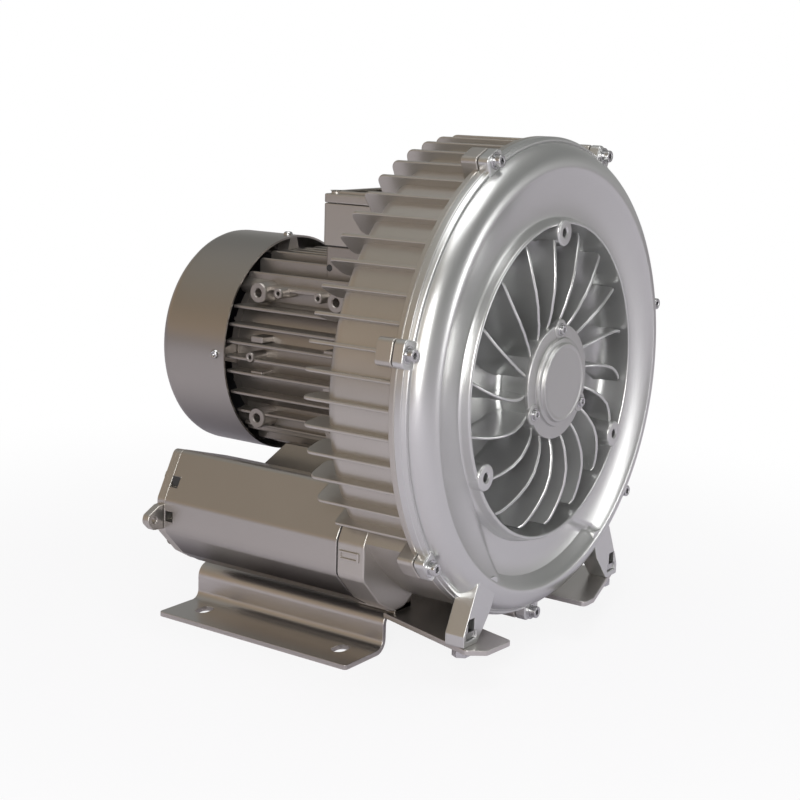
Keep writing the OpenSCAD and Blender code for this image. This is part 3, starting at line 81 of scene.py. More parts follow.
class Wire:
    """An output of a node, with arithmetic."""

    def __init__(self, net, socket):
        self.net, self.socket = net, socket

    def _math(self, operation, first, second):
        return self.net.node("ShaderNodeMath", {"operation": operation}, {0: first, 1: second})

    def __add__(self, other):
        return self._math("ADD", self, other)

    __radd__ = __add__

    def __mul__(self, other):
        return self._math("MULTIPLY", self, other)

    def __sub__(self, other):
        return self._math("SUBTRACT", self, other)

    def blend(self, low, high):
        """The colour low where this is 0, and high where it is 1."""
        return self.net.node("ShaderNodeMix", {"data_type": "RGBA"}, {0: self, 6: low, 7: high}, out=2)

    def ranged(self, start, end, low=0, high=1, soft=False):
        """This with start turned to low and end to high, and held beyond them."""
        return self.net.node("ShaderNodeMapRange", {"interpolation_type": "SMOOTHSTEP" if soft else "LINEAR"},
                             {0: self, 1: start, 2: end, 3: low, 4: high})

    def part(self, axis):
        """The X, Y or Z of this place."""
        return self.net.node("ShaderNodeSeparateXYZ", values={0: self}, out=axis)

    def length(self):
        return self.net.node("ShaderNodeVectorMath", {"operation": "LENGTH"}, {0: self}, out="Value")

    def noise(self, scale, detail, roughness=0.5):
        """Cloudy noise, read at this place."""
        return self.net.node("ShaderNodeTexNoise", values={
            "Vector": self, "Scale": scale, "Detail": detail, "Roughness": roughness})


azimuth, elevation, roll = (math.radians(angle) for angle in (-55.1001709, 11.411734, 1.70979069))
camera_place = (-1.0218, -0.7549, 0.4300)
back = Vector((math.sin(azimuth) * math.cos(elevation), -math.cos(azimuth) * math.cos(elevation),
               math.sin(elevation)))
level_right = Vector((math.cos(azimuth), math.sin(azimuth), 0))
level_up = back.cross(level_right)
right = math.cos(roll) * level_right + math.sin(roll) * level_up
up = math.cos(roll) * level_up - math.sin(roll) * level_right
camera_data = bpy.data.cameras.new("camera")
camera_data.sensor_width = 36
camera_data.lens = 70.3131
camera_data.clip_end = 50
camera = bpy.data.objects.new("camera", camera_data)
camera.matrix_world = Matrix.Translation(camera_place) @ Matrix((right, up, back)).transposed().to_4x4()
bpy.context.scene.collection.objects.link(camera)
bpy.context.scene.camera = camera

tent_stops = [(0.0, (0.42, 0.41, 0.43)), (0.46, (0.42, 0.41, 0.42)), (0.60, (0.36, 0.36, 0.355)),
              (0.74, (0.20, 0.205, 0.20)), (0.90, (0.26, 0.26, 0.255)), (1.0, (0.50, 0.50, 0.50))]
wall_stops = [(0.0, (0.46, 0.44, 0.48)), (0.49, (0.44, 0.41, 0.43)), (0.54, (0.45, 0.345, 0.245)),
              (0.70, (0.34, 0.275, 0.205)), (0.88, (0.31, 0.295, 0.265))]
towards_wall = (-0.80, 0.60, 0.05)
wall_begins, wall_full = 0.05, 0.70

world = bpy.data.worlds.new("tent")
world.use_nodes = True
world.node_tree.nodes.clear()
sky = Net(world.node_tree)
look = sky.node("ShaderNodeTexCoord", out="Generated")
height = look.part("Z") * 0.5 + 0.5
side = sky.node("ShaderNodeVectorMath", {"operation": "DOT_PRODUCT"}, {0: look, 1: towards_wall}, out="Value")
tent = sky.node("ShaderNodeValToRGB", {"stops": tent_stops}, {0: height})
wall = sky.node("ShaderNodeValToRGB", {"stops": wall_stops}, {0: height})
around = side.ranged(wall_begins, wall_full, soft=True).blend(tent, wall)
light = sky.node("ShaderNodeBackground", values={"Color": around, "Strength": 1.0})
plain = sky.node("ShaderNodeBackground", values={"Color": (1, 1, 1, 1), "Strength": 1.0})
seen = sky.node("ShaderNodeLightPath", out="Is Camera Ray")
both = sky.node("ShaderNodeMixShader", values={0: seen, 1: light, 2: plain})
sky.node("ShaderNodeOutputWorld", values={0: both})
bpy.context.scene.world = world
bpy.context.scene.view_settings.view_transform = "Standard"


def lamp(name, place, aim, width, depth, watts):
    """A soft oblong light at a place, turned to a spot."""
    data = bpy.data.lights.new(name, "AREA")
    data.shape = "RECTANGLE"
    data.size, data.size_y = width, depth
    data.energy = watts
    made = bpy.data.objects.new(name, data)
    made.location = place
    made.rotation_euler = (Vector(aim) - Vector(place)).to_track_quat("-Z", "Y").to_euler()
    bpy.context.scene.collection.objects.link(made)


lamp("window", place=(-2.3, -1.15, 1.1), aim=(0, -0.1, 0.2), width=0.9, depth=1.4, watts=30)
lamp("ceiling", place=(-0.2, -0.3, 2.4), aim=(0, 0, 0.1), width=1.6, depth=1.6, watts=15)
lamp("right_window", place=(1.3, -2.3, 0.5), aim=(0, -0.15, 0.15), width=0.5, depth=0.9, watts=6)


def new_finish(name):
    """A material and its empty net of nodes."""
    material = bpy.data.materials.new(name)
    material.use_nodes = True
    material.node_tree.nodes.clear()
    return material, Net(material.node_tree)


table_reach = 30
cloth_colour = (0.83, 0.80, 0.885, 1)
shade_near, shade_far = 0.25, 0.8
white_near = 0.88
table = bpy.data.meshes.new("table")
corners = [(u * table_reach, v * table_reach, 0) for u, v in ((-1, -1), (1, -1), (1, 1), (-1, 1))]
table.from_pydata(corners, [], [(0, 1, 2, 3)])
table_top = bpy.data.objects.new("table", table)
bpy.context.scene.collection.objects.link(table_top)
cloth, net = new_finish("table_cloth")
matt = net.node("ShaderNodeBsdfDiffuse", values={"Color": cloth_colour})
white = net.node("ShaderNodeEmission", values={"Color": (1, 1, 1, 1), "Strength": 1.0})
direct = net.node("ShaderNodeLightPath", out="Is Camera Ray")
away = net.node("ShaderNodeTexCoord", out="Object").length()
fade = away.ranged(shade_near, shade_far, white_near, 1.0, soft=True)
shade = net.node("ShaderNodeMixShader", values={0: direct * fade, 1: matt, 2: white})
net.node("ShaderNodeOutputMaterial", values={0: shade})
table.materials.append(cloth)


# Base
# The foot is one sheet of steel, blanked, slotted and pressed with two double bends.
# Its deck reaches forward in two tongues that pass under the feet of the pump cover.
JOINT = Vector((0, -0.1645, 0.213))
MILLIMETRE = 0.001
ALONG = {"x": lambda u, v, h: (h, u, v), "y": lambda u, v, h: (u, h, v), "z": lambda u, v, h: (u, v, h)}


def coating(name, colour, tint, rough, metal=0.92, grain=(900, 900, 900), dents=0.04, stain=0.5, spread=9,
            uneven=0.04, painted_shade=None):
    """Sprayed or unpainted metal: clouded colour, uneven gloss and a fine grain, read at the piece's own
    place.
    Where painted shade falls, a given function tells how far the colour turns to a darker shade colour, and
    that colour."""
    middle, grain_gloss, bump_gain, blotch_depth = 0.5, 0.03, 10, 0.15
    material, net = new_finish(name)
    place = net.node("ShaderNodeTexCoord", out="Object")
    clouds = place.noise(spread, 4, 0.55).ranged(0.32, 0.68)
    fine = net.node("ShaderNodeMapping", values={"Vector": place, "Scale": grain}).noise(1, 3, 0.6)
    blotch = place.noise(60, 5, 0.65)
    base = (clouds * stain + fine * (1 - stain)).blend((*tint, 1), (*colour, 1))
    # Painted shade: the colour is mixed towards a darker shade colour by the given mask.
    if painted_shade:
        reach, shade_colour = painted_shade(place)
        base = reach.blend(base, (*shade_colour, 1))
    gloss = rough + (blotch - middle) * uneven + (fine - middle) * grain_gloss
    bump = net.node("ShaderNodeBump", values={
        "Strength": dents * bump_gain, "Distance": 0.00012, "Height": fine + blotch * blotch_depth})
    shader = net.node("ShaderNodeBsdfPrincipled", values={
        "Base Color": base, "Metallic": metal, "Roughness": gloss, "Normal": bump})
    net.node("ShaderNodeOutputMaterial", values={0: shader})
    return material


def circle(u, v, radius, count=48, start=0, sweep=360):
    """Points round a circle, or along a part of it with both ends."""
    closed = 1 if abs(sweep) < 360 else 0
    return [(u + radius * math.cos(math.radians(start + sweep * i / count)),
             v + radius * math.sin(math.radians(start + sweep * i / count))) for i in range(count + closed)]


def oblong(u0, v0, u1, v1):
    return [(u0, v0), (u1, v0), (u1, v1), (u0, v1)]


def rounded(corners, radii, steps=4):
    """A closed outline with each corner turned into an arc."""
    longest_share, straight = 0.48, math.radians(89)
    outline, total = [], len(corners)
    for i, corner in enumerate(corners):
        radius = radii[i] if isinstance(radii, (list, tuple)) else radii
        here = Vector(corner)
        before, after = (Vector(corners[i - 1]) - here), (Vector(corners[(i + 1) % total]) - here)
        half = before.angle(after) / 2
        if radius <= 0 or half > straight:
            outline.append(tuple(here))
            continue
        reach = min(radius / math.tan(half), before.length * longest_share, after.length * longest_share)
        start, end = here + before.normalized() * reach, here + after.normalized() * reach
        bend = reach * math.tan(half)
        centre = here + (before.normalized() + after.normalized()).normalized() * math.hypot(reach, bend)
        first, second = start - centre, end - centre
        opening = first.angle_signed(second)
        for k in range(steps + 1):
            a = -opening * k / steps
            outline.append((centre.x + first.x * math.cos(a) - first.y * math.sin(a),
                            centre.y + first.x * math.sin(a) + first.y * math.cos(a)))
    return outline


def inset(loop, by):
    """The loop moved to its left by a distance, with mitred corners."""
    nothing, sharpest = 1e-6, 0.45
    moved, total = [], len(loop)
    for i in range(total):
        here = Vector(loop[i])
        into, out = here - Vector(loop[i - 1]), Vector(loop[(i + 1) % total]) - here
        if into.length < nothing or out.length < nothing:
            moved.append(tuple(here))
            continue
        into, out = into.normalized(), out.normalized()
        n1, n2 = Vector((-into.y, into.x)), Vector((-out.y, out.x))
        moved.append(tuple(here + (n1 + n2) * (by / max(1 + n1.dot(n2), sharpest))))
    return moved


def quads(start, following, total):
    """The faces between two closed rings of points."""
    return [(start + i, start + (i + 1) % total, following + (i + 1) % total, following + i)
            for i in range(total)]


def slab(loops, low, high, edge=0.8, along="y", edges=(True, True)):
    """A plate of an outline with holes, with rounded edges: (points, faces)."""
    faced = []
    for number, loop in enumerate(loops):
        area = sum(a[0] * b[1] - a[1] * b[0] for a, b in zip(loop, loop[1:] + loop[:1]))
        wanted = area > 0 if number == 0 else area < 0
        faced.append(list(loop) if wanted else list(reversed(loop)))
    turns = [math.radians(t) for t in (0, 30, 60, 90)]
    levels = [(low, 0)]
    if edges[0]:
        levels = [(low + edge * (1 - math.cos(t)), edge * (1 - math.sin(t))) for t in turns]
    if edges[1]:
        levels += [(high - edge * (1 - math.cos(t)), edge * (1 - math.sin(t))) for t in reversed(turns)]
    else:
        levels += [(high, 0)]
    points, faces, starts = [], [], []
    for h, shift in levels:
        starts.append(len(points))
        for loop in faced:
            points += [ALONG[along](u, v, h) for u, v in inset(loop, shift)]
    for k in range(len(levels) - 1):
        base = 0
        for loop in faced:
            faces += quads(starts[k] + base, starts[k + 1] + base, len(loop))
            base += len(loop)
    for k in (0, len(levels) - 1):
        flat = [[(*p, 0) for p in inset(loop, levels[k][1])] for loop in faced]
        faces += [tuple(starts[k] + i for i in triangle) for triangle in tessellate_polygon(flat)]
    return points, faces


def turned(profile, count=192, centre=(0, 0), along="y"):
    """A closed outline of radius and height turned round an axis: (points, faces)."""
    points, faces, total = [], [], len(profile)
    for i in range(count):
        c, s = math.cos(2 * math.pi * i / count), math.sin(2 * math.pi * i / count)
        points += [ALONG[along](centre[0] + r * c, centre[1] + r * s, h) for r, h in profile]
    for i in range(count):
        faces += quads(i * total, (i + 1) % count * total, total)
    return points, faces


def ring_tree():
    """Copies of a piece turned round the motor axis, joined into one mesh."""
    tree = bpy.data.node_groups.new("round_the_axis", "GeometryNodeTree")
    inputs = {"Piece": "Geometry", "Count": "Int", "First": "Float", "Step": "Float", "Finish": "Material"}
    for label, kind in inputs.items():
        tree.interface.new_socket(name=label, in_out="INPUT", socket_type=f"NodeSocket{kind}")
    tree.interface.new_socket(name="Ring", in_out="OUTPUT", socket_type="NodeSocketGeometry")
    net = Net(tree)
    source = tree.nodes.new("NodeGroupInput")
    given = {socket.name: Wire(net, socket) for socket in source.outputs if socket.name}
    line = {"Count": given["Count"], "Offset": (0, 0, 0)}
    spots = net.node("GeometryNodeMeshLine", {"mode": "OFFSET"}, line)
    turn = given["First"] + net.node("GeometryNodeInputIndex") * given["Step"]
    spin = net.node("ShaderNodeCombineXYZ", values={"Y": turn * -1})
    copies = net.node("GeometryNodeInstanceOnPoints", values={
        "Points": spots, "Instance": given["Piece"], "Rotation": spin})
    joined = net.node("GeometryNodeRealizeInstances", values={"Geometry": copies})
    finished = net.node("GeometryNodeSetMaterial", values={"Geometry": joined, "Material": given["Finish"]})
    net.node("NodeGroupOutput", values={"Ring": finished})
    return tree


round_the_axis = ring_tree()


def plain_mesh(piece):
    """Turns what the modifiers make into the piece's own mesh."""
    whole = bpy.data.meshes.new_from_object(piece.evaluated_get(bpy.context.evaluated_depsgraph_get()))
    piece.modifiers.clear()
    piece.data = whole


def clean(shape):
    """Merges what meets, takes out loose edges and turns every face outwards."""
    bmesh.ops.remove_doubles(shape, verts=shape.verts, dist=1e-4)
    bmesh.ops.dissolve_degenerate(shape, edges=shape.edges, dist=1e-5)
    bmesh.ops.delete(shape, geom=[edge for edge in shape.edges if not edge.link_faces], context="EDGES")
    bmesh.ops.recalc_face_normals(shape, faces=shape.faces)


def piece(name, parts, finish, slot, ring=None, crease=38, body="casing"):
    """A piece of the blower in metres, from parts in millimetres round the motor axis.
    A ring is how many copies stand round the axis, the angle of the first and the step between them."""
    points, faces = [], []
    for part_points, part_faces in parts:
        base = len(points)
        points += part_points
        faces += [tuple(base + i for i in face) for face in part_faces]
    mesh = bpy.data.meshes.new(name)
    mesh.from_pydata(points, [], faces)
    made = bpy.data.objects.new(name, mesh)
    bpy.context.scene.collection.objects.link(made)
    shape = bmesh.new()
    shape.from_mesh(mesh)
    clean(shape)
    shape.to_mesh(mesh)
    shape.free()
    mesh.materials.append(finish)
    if ring:
        count, first, step = ring
        given = made.modifiers.new("ring", "NODES")
        given.node_group = round_the_axis
        values = {"Count": count, "First": math.radians(first), "Step": math.radians(step), "Finish": finish}
        for item in round_the_axis.interface.items_tree:
            if item.name in values:
                given[item.identifier] = values[item.name]
        plain_mesh(made)
    made.data.transform(Matrix.Translation(JOINT) @ Matrix.Scale(MILLIMETRE, 4))
    made.data.shade_smooth()
    made.data.set_sharp_from_angle(angle=math.radians(crease))
    even = made.modifiers.new("even", "WEIGHTED_NORMAL")
    even.keep_sharp = True
    plain_mesh(made)
    made.data.name = name
    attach(made, body)
    return made


sheet = 4
deck_height = -182
deck_half, foot_half = 90, 137
deck_front, base_rear, tongue_tip = 69, 260, -39
bend_inside, web, bend_steps = 7, 11, 8
bend_middle = bend_inside + sheet / 2
bend_length = bend_middle * math.pi / 2
deck_flat = deck_half - bend_inside - sheet
bend_starts = (deck_flat, deck_flat + bend_length + web)
blank_half = bend_starts[1] + bend_length + foot_half - deck_half - bend_inside
foot_slot_x, foot_slot_ys, foot_slot_r, foot_slot_half = 110, (94.5, 234.5), 5.5, 3
foot_screw_r = 4.3
lug_screw_x, lug_screw_y = 73.8, 90
leg_screw_x, leg_screw_y = 108, -13.75
sheet_edge = 0.5


def folded(u, h):
    """The place across the base of a point of the blank, with h its height over the middle surface."""
    side, u = (1 if u >= 0 else -1), abs(u)
    down, back = (max(0, min(bend_length, u - start)) / bend_middle for start in bend_starts)
    drop = max(0, min(web, u - bend_starts[0] - bend_length))
    reach = min(u, deck_flat) + max(0, u - bend_starts[1] - bend_length)
    x = reach + bend_middle * (math.sin(down) + 1 - math.cos(back))
    z = -drop - bend_middle * (math.sin(back) + 1 - math.cos(down))
    return side * (x + h * math.sin(down - back)), z + h * math.cos(down - back)


def bent_wings():
    """The deck with its two feet: the blank, cut at its bend lines and folded."""
    holes = []
    for side in (-1, 1):
        u = side * (blank_half - (foot_half - foot_slot_x))
        for y in foot_slot_ys:
            holes.append(circle(u + foot_slot_half, y, foot_slot_r, 12, -90, 180)
                         + circle(u - foot_slot_half, y, foot_slot_r, 12, 90, 180))
        holes.append(circle(side * lug_screw_x, lug_screw_y, foot_screw_r, 24))
    outline = rounded(oblong(-blank_half, deck_front, blank_half, base_rear), 3, 3)
    mesh = bpy.data.meshes.new("blank")
    points, faces = slab([outline] + holes, -sheet / 2, sheet / 2, sheet_edge, "z")
    mesh.from_pydata(points, [], faces)
    shape = bmesh.new()
    shape.from_mesh(mesh)
    bends = [start + bend_length * k / bend_steps for start in bend_starts for k in range(bend_steps + 1)]
    for u in bends:
        for side in (-1, 1):
            bmesh.ops.bisect_plane(shape, geom=shape.verts[:] + shape.edges[:] + shape.faces[:], dist=1e-4,
                                   plane_co=(side * u, 0, 0), plane_no=(1, 0, 0))
    points = []
    for vert in shape.verts:
        x, z = folded(vert.co.x, vert.co.z)
        points.append((x, vert.co.y, deck_height + z))
    shape.verts.index_update()
    faces = [tuple(vert.index for vert in face.verts) for face in shape.faces]
    shape.free()
    bpy.data.meshes.remove(mesh)
    return points, faces


tongue_shares = [(-1, 0), (-1.32, 0.86), (-1.21, 0.98), (-0.88, 1), (-0.78, 0.69), (-0.78, 0.45),
                 (0.36, 0.45), (0.36, 1), (0.53, 1), (1.42, 0.77), (1.38, 0.64), (1, 0)]
tongue_bends = [0, 4, 4, 4, 6, 6, 6, 4, 4, 4, 4, 0]
tongues = rounded([(x * deck_half, deck_front + y * (tongue_tip - deck_front)) for x, y in tongue_shares],
                  tongue_bends)
leg_holes = [circle(side * leg_screw_x, leg_screw_y, foot_screw_r, 24) for side in (-1, 1)]
tongue_plate = slab([tongues] + leg_holes, deck_height - sheet / 2, deck_height + sheet / 2, sheet_edge, "z")
sheet_steel = coating("pressed_sheet", colour=(0.66, 0.635, 0.61), tint=(0.62, 0.595, 0.57), rough=0.30,
                      metal=0.95, grain=(260, 12, 260), dents=0.002, stain=0.8, spread=14, uneven=0.012)
base = piece("base_sheet", [bent_wings(), tongue_plate], sheet_steel, "base_sheet", crease=30)
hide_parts("base_plate")


# Pump housing
# The rear casing is one casting: a drum with a ring of cooling fins, the two duct faces that carry the
# silencers, the seat ring for the motor and seven lugs that take the cover bolts. It is sprayed silver.
silver = coating("silver_casting", colour=(0.60, 0.575, 0.535), tint=(0.54, 0.515, 0.48), rough=0.34,
                 metal=0.9, grain=(700, 700, 700), dents=0.02, spread=8)
bolt_count = 7
bolt_step = 360 / bolt_count
chamber_r, chamber_depth = 169, 46.8
flange_r, flange_rear, flange_edge, flange_fillet = 182.5, 5.0, 0.8, 3
drum_r, drum_rear, drum_round = 174, 68, 13
channel_r, channel_wall_r, channel_foot_r = 150, 22.5, 127
web_rear, floor_rear = 56.2, 60.8
seat_in_r, seat_out_r, seat_rear = 77, 95, 78
hub_r, hub_rear, shaft_hole_r = 34, 52, 19
silencer_x, silencer_z = 102, -122
silencer_half_w, silencer_half_h = 46, 50
silencer_corners = [(-0.56, 1), (0.62, 0.70), (1, 0.24), (1, -0.28), (0.55, -0.72), (0.14, -0.94),
                    (-0.14, -0.94), (-0.55, -0.72), (-1, -0.28), (-1, 0.24)]
silencer_bends = [5, 6, 9, 9, 9, 7, 7, 9, 9, 9]


def arc(r, y, radius, first, last, steps):
    return circle(r, y, radius, steps, first, last - first)


def silencer_outline(side, share=1.0):
    """The section of a silencer on one side, about the motor axis."""
    local = rounded([(u * silencer_half_w * share, v * silencer_half_h * share) for u, v in silencer_corners],
                    [bend * share for bend in silencer_bends], 5)
    return [(side * silencer_x + (-u if side > 0 else u), v + silencer_z) for u, v in local]


def inside(loop, u, v):
    hit = False
    for (u0, v0), (u1, v1) in zip(loop, loop[1:] + loop[:1]):
        if (v0 > v) != (v1 > v) and u < (u1 - u0) * (v - v0) / (v1 - v0) + u0:
            hit = not hit
    return hit


def clipped(loop, radius, count=180):
    """The part of a convex loop inside a circle round the motor axis."""
    for i in range(count):
        a = 2 * math.pi * i / count
        n = (math.cos(a), math.sin(a))
        kept = []
        for p, q in zip(loop, loop[1:] + loop[:1]):
            dp, dq = radius - (p[0] * n[0] + p[1] * n[1]), radius - (q[0] * n[0] + q[1] * n[1])
            if dp >= 0:
                kept.append(p)
            if (dp >= 0) != (dq >= 0):
                t = dp / (dp - dq)
                kept.append((p[0] + (q[0] - p[0]) * t, p[1] + (q[1] - p[1]) * t))
        loop = kept
    return loop


flange_shoulder = flange_rear + 0.4
drum = ([(chamber_r, 0), (flange_r - flange_edge, 0), (flange_r, flange_edge),
         (flange_r, flange_rear - flange_edge), (flange_r - flange_edge, flange_rear),
         (drum_r + flange_fillet + 0.5, flange_shoulder)]
        + arc(drum_r + flange_fillet, flange_shoulder + flange_fillet, flange_fillet, -90, -180, 4)
        + arc(drum_r - drum_round, drum_rear - drum_round, drum_round, 0, 90, 8)
        + arc(channel_r, chamber_depth, channel_wall_r, 66, 156, 12)
        + [(channel_foot_r, web_rear), (seat_out_r + 2, web_rear), (seat_out_r, web_rear + 1.8),
           (seat_out_r, seat_rear - flange_edge), (seat_out_r - flange_edge, seat_rear),
           (seat_in_r + flange_edge, seat_rear), (seat_in_r, seat_rear - flange_edge),
           (seat_in_r, floor_rear), (hub_r, floor_rear), (hub_r, hub_rear), (shaft_hole_r, hub_rear),
           (shaft_hole_r, chamber_depth), (chamber_r, chamber_depth)])

duct_bore_r, duct_rear, duct_front = 17.5, 71, 2.6
deck_top = deck_height + sheet / 2
lug_half, lug_front, lug_rear, lug_thick, lug_height = 11, 62, 101, 5, 42
mark_x, mark_half = 148.4, 0.9
mark_frame = [rounded(oblong(51, -116, 69, -123), 0.5, 2), oblong(53, -117.6, 67, -121.4)]


def duct(side):
    """The duct to one silencer, its raised frame that is left blank, and the lug screwed to the base."""
    lug_x = side * lug_screw_x
    foot = rounded(oblong(lug_x - lug_half, lug_front, lug_x + lug_half, lug_rear), [1, 1, 6, 6])
    upright = oblong(lug_x - lug_half, deck_top, lug_x + lug_half, deck_top + lug_height)
    mouth = circle(side * silencer_x, silencer_z, duct_bore_r, 40)
    hole = circle(lug_x, lug_screw_y, foot_screw_r, 24)
    return [slab([silencer_outline(side), mouth], chamber_depth, duct_rear, 1.2),
            slab([clipped(silencer_outline(side, 0.993), flange_r - 0.5)], duct_front, chamber_depth + 1.2),
            slab([foot, hole], deck_top, deck_top + lug_thick, along="z"),
            slab([upright], lug_front, duct_rear),
            slab(mark_frame, side * mark_x - mark_half, side * mark_x + mark_half, 0.4, "x")]


def cradle():
    """The saddle under the motor: its top follows the barrel, and its rear slopes down."""
    top, half, hollow_r, steps = -0.83 * 86, 59.8, 87.5, 24
    front, rear, tip, fall, foot = 60, 192.4, 214.4, 20, 22
    points, faces = [], []
    for k in range(steps + 1):
        x = half * (2 * k / steps - 1)
        upper = min(top, -math.sqrt(max(hollow_r ** 2 - x * x, 0)))
        points += [(x, front, upper), (x, rear, upper), (x, tip, top - fall), (x, tip, top - foot),
                   (x, front, top - foot)]
    for k in range(steps):
        faces += quads(5 * k, 5 * (k + 1), 5)
    return points, faces + [tuple(range(5)), tuple(range(steps * 5, steps * 5 + 5))]


housing = piece("pump_housing_casting", [turned(drum, 256), *duct(-1), *duct(1), cradle()], silver,
                "cast_aluminium")
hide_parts("pump_housing")

fin_step = bolt_step / 8
fins_each_side = 19
fin_half, fin_edge = 1.35, 0.9
fin_root_r, fin_tip_r, fin_front, fin_rear, fin_round = 158, 180.4, 3, 82, 6.4
fin_middle_r, duct_reach = 165, 1.08
whole_fin = ([(fin_root_r, fin_front), (fin_tip_r, fin_front)]
             + arc(fin_tip_r - fin_round, fin_rear - fin_round, fin_round, 0, 90, 6)
             + arc(162.5, fin_rear - fin_round, fin_round, 90, 160, 5) + [(156.4, 64.8)])
short_fin = [(fin_root_r, fin_front), (fin_tip_r, fin_front), (fin_tip_r, 69.5), (179, duct_rear),
             (157, duct_rear)]
runs = []
for k in range(-fins_each_side, fins_each_side + 1):
    spot = circle(0, 0, fin_middle_r, 1, 90 + fin_step * k)[0]
    at_duct = any(inside(silencer_outline(side, duct_reach), *spot) for side in (-1, 1))
    if not runs or runs[-1][0] != at_duct:
        runs.append([at_duct, k, 0])
    runs[-1][2] += 1
for number, (at_duct, first, count) in enumerate(runs):
    fin = slab([short_fin if at_duct else whole_fin], -fin_half, fin_half, fin_edge, "z")
    ring = (count, 90 + fin_step * first, fin_step)
    piece(f"casting_fins_{number}", [fin], silver, "cast_aluminium", ring=ring)

bolt_lug = oblong(171, -10, 191, 10)
joint_gap = 0.35
housing_lug = slab([rounded(bolt_lug, [0, 4, 4, 0])], joint_gap, 14, 1.0)
piece("housing_lugs", [housing_lug], silver, "cast_aluminium", ring=(bolt_count, -90, bolt_step))


# Pump cover
# The front casting is a bright sprayed casting: a rounded ring over the side channel, a lip, and a dish that
# runs in to the bearing hub. Low on the left the ring gives way to a plain pocket over the port wall.
# The floor of the dish is painted darker, as painted shade in the recess.
dish_shade_colour = (0.65, 0.655, 0.65)
dish_shade_in_r, dish_shade_out_r = 0.1185, 0.1215
dish_shade_front, dish_shade_rear = JOINT.y - 0.022, JOINT.y - 0.004


def painted_dish_shade(place):
    """Painted shade on the floor of the dish: how far a place is down there, and the darker colour painted
    there.
    """
    sides = {"X": place.part("X"), "Y": place.part("Z") - JOINT.z}
    across = place.net.node("ShaderNodeCombineXYZ", values=sides)
    within = across.length().ranged(dish_shade_in_r, dish_shade_out_r, 1, 0)
    return within * place.part("Y").ranged(dish_shade_front, dish_shade_rear), dish_shade_colour


bright = coating("bright_casting", colour=(0.72, 0.725, 0.715), tint=(0.67, 0.675, 0.665), rough=0.31,
                 metal=0.93, grain=(700, 700, 700), dents=0.02, spread=7, painted_shade=painted_dish_shade)


def gap_to(loop, u, v):
    """Distance from a point to the outline, positive inside it."""
    spot, gaps = Vector((u, v)), []
    for p, q in zip(loop, loop[1:] + loop[:1]):
        p, q = Vector(p), Vector(q)
        t = max(0, min(1, (spot - p).dot(q - p) / (q - p).length_squared))
        gaps.append((spot - p - (q - p) * t).length)
    return min(gaps) if inside(loop, u, v) else -min(gaps)


def smooth(t):
    t = max(0, min(1, t))
    return t * t * (3 - 2 * t)


def between(stops, share):
    """The value at a share of the way, from stops of share and value joined by straight lines."""
    for (s0, v0), (s1, v1) in zip(stops, stops[1:]):
        if share <= s1:
            return v0 + (v1 - v0) * (share - s0) / (s1 - s0)
    return stops[-1][1]


lip_height, dish_drop = 21.5, 29.5
dish_r, dish_width = 119, 75
dish_stops = [(0, 0), (0.012, 0.30), (0.03, 0.60), (0.055, 0.78), (0.10, 0.91), (0.17, 0.985), (0.24, 1),
              (0.86, 1), (0.95, 0.93), (1.0, 0.80)]


def dish_depth(r):
    """How far the dish surface stands ahead of the joint at a radius."""
    return lip_height - dish_drop * between(dish_stops, (dish_r - r) / dish_width)


ring_r, ring_height, ring_round = 161, 6, 17
band_r, band_height, band_round = 126.9, 78.8, 65.4
rim = [(chamber_r, 0), (181.9, 0), (flange_r, 0.5), (flange_r, 4.9), (182.2, 5.5), (181.6, 5.8), (180.9, 7.9),
       (180.9, 8.3), (180.6, 8.8), (180.0, 9.0), (179.3, 8.9), (178.8, 8.3), (178.3, 8.1)]
fall = [circle(ring_r, ring_height, ring_round, 1, a)[0] for a in (*range(8, 81, 8), 86)]
crest = [(161.0, 22.95), (160.2, 22.75), (159.4, 22.3)]
band = [(r, band_height - math.sqrt(band_round ** 2 - (r - band_r) ** 2))
        for r in (158, 156, 153.5, 151, 148, 145, 142, 139, 136, 133, 130, 127.5, 125)]
lip = [(123.9, 13.7), (123.2, 14.5), (122.7, 16), (121.8, 20.2), (121.3, 21.1), (120.6, lip_height),
       (119.6, lip_height), (119.0, 21.1), (118.6, 20.2)]
dish = [(r, dish_depth(r))
        for r in (118.1, 117.4, 116.75, 115.9, 114.9, 113.3, 111.5, 109, 106, 103, 101, 94, 85, 74, 62, 54.5,
                  51, 47.75, 46)]
hub = [(44.6, -1.5), (44, 0.5), (44, 19), (27, 19), (27, -13), (50, -13), (84, -12.8), (106, -12.6),
       (114, -10), (119, -5), (123, 3), (150, 3), (chamber_r, 3)]
pocket = [(-96.7, -73), (-62, -140), (-65.7, -167.9), (87.6, -167.9), (78.5, -135), (28.3, -113.2)]
pocket_r, pocket_margin, pocket_slope = 153, 4.5, 8
pocket_floor, floor_rise, rise_from_r, rise_width = 9.2, 2.2, 139, 14


def cover_shell():
    """The cover turned round the axis, with the pocket sunk into its ring: (points, faces)."""
    profile = rim + fall + crest + band + lip + dish + hub
    first_cut, last_cut = len(rim), len(rim + fall + crest + band)
    points, faces = turned([(r, -height) for r, height in profile], 576)
    for i, (u, y, v) in enumerate(points):
        if first_cut <= i % len(profile) < last_cut:
            r, height = math.hypot(u, v), -y
            depth_in = min(gap_to(pocket, u, v), pocket_r - r)
            floor = pocket_floor + floor_rise * smooth((r - rise_from_r) / rise_width)
            sunk = smooth((depth_in + pocket_margin) / pocket_slope)
            points[i] = (u, -(height + (min(height, floor) - height) * sunk), v)
    return points, faces


leg_shape = [(99.9, -133.2), (117.9, -171), (117.9, deck_top), (99.9, deck_top), (81.9, -158.8), (72, -135)]
leg_bends = [5, 3, 1.5, 1.5, 6, 4]
nut_slot = [(-6.8, -175.5), (6.8, -175.5), (6.8, -169.4), (4.2, -169.4), (4.2, -160), (-4.2, -160),
            (-4.2, -169.4), (-6.8, -169.4)]
leg_front, slot_floor, leg_rear, overlap = -22, -7.2, -5.5, 0.05


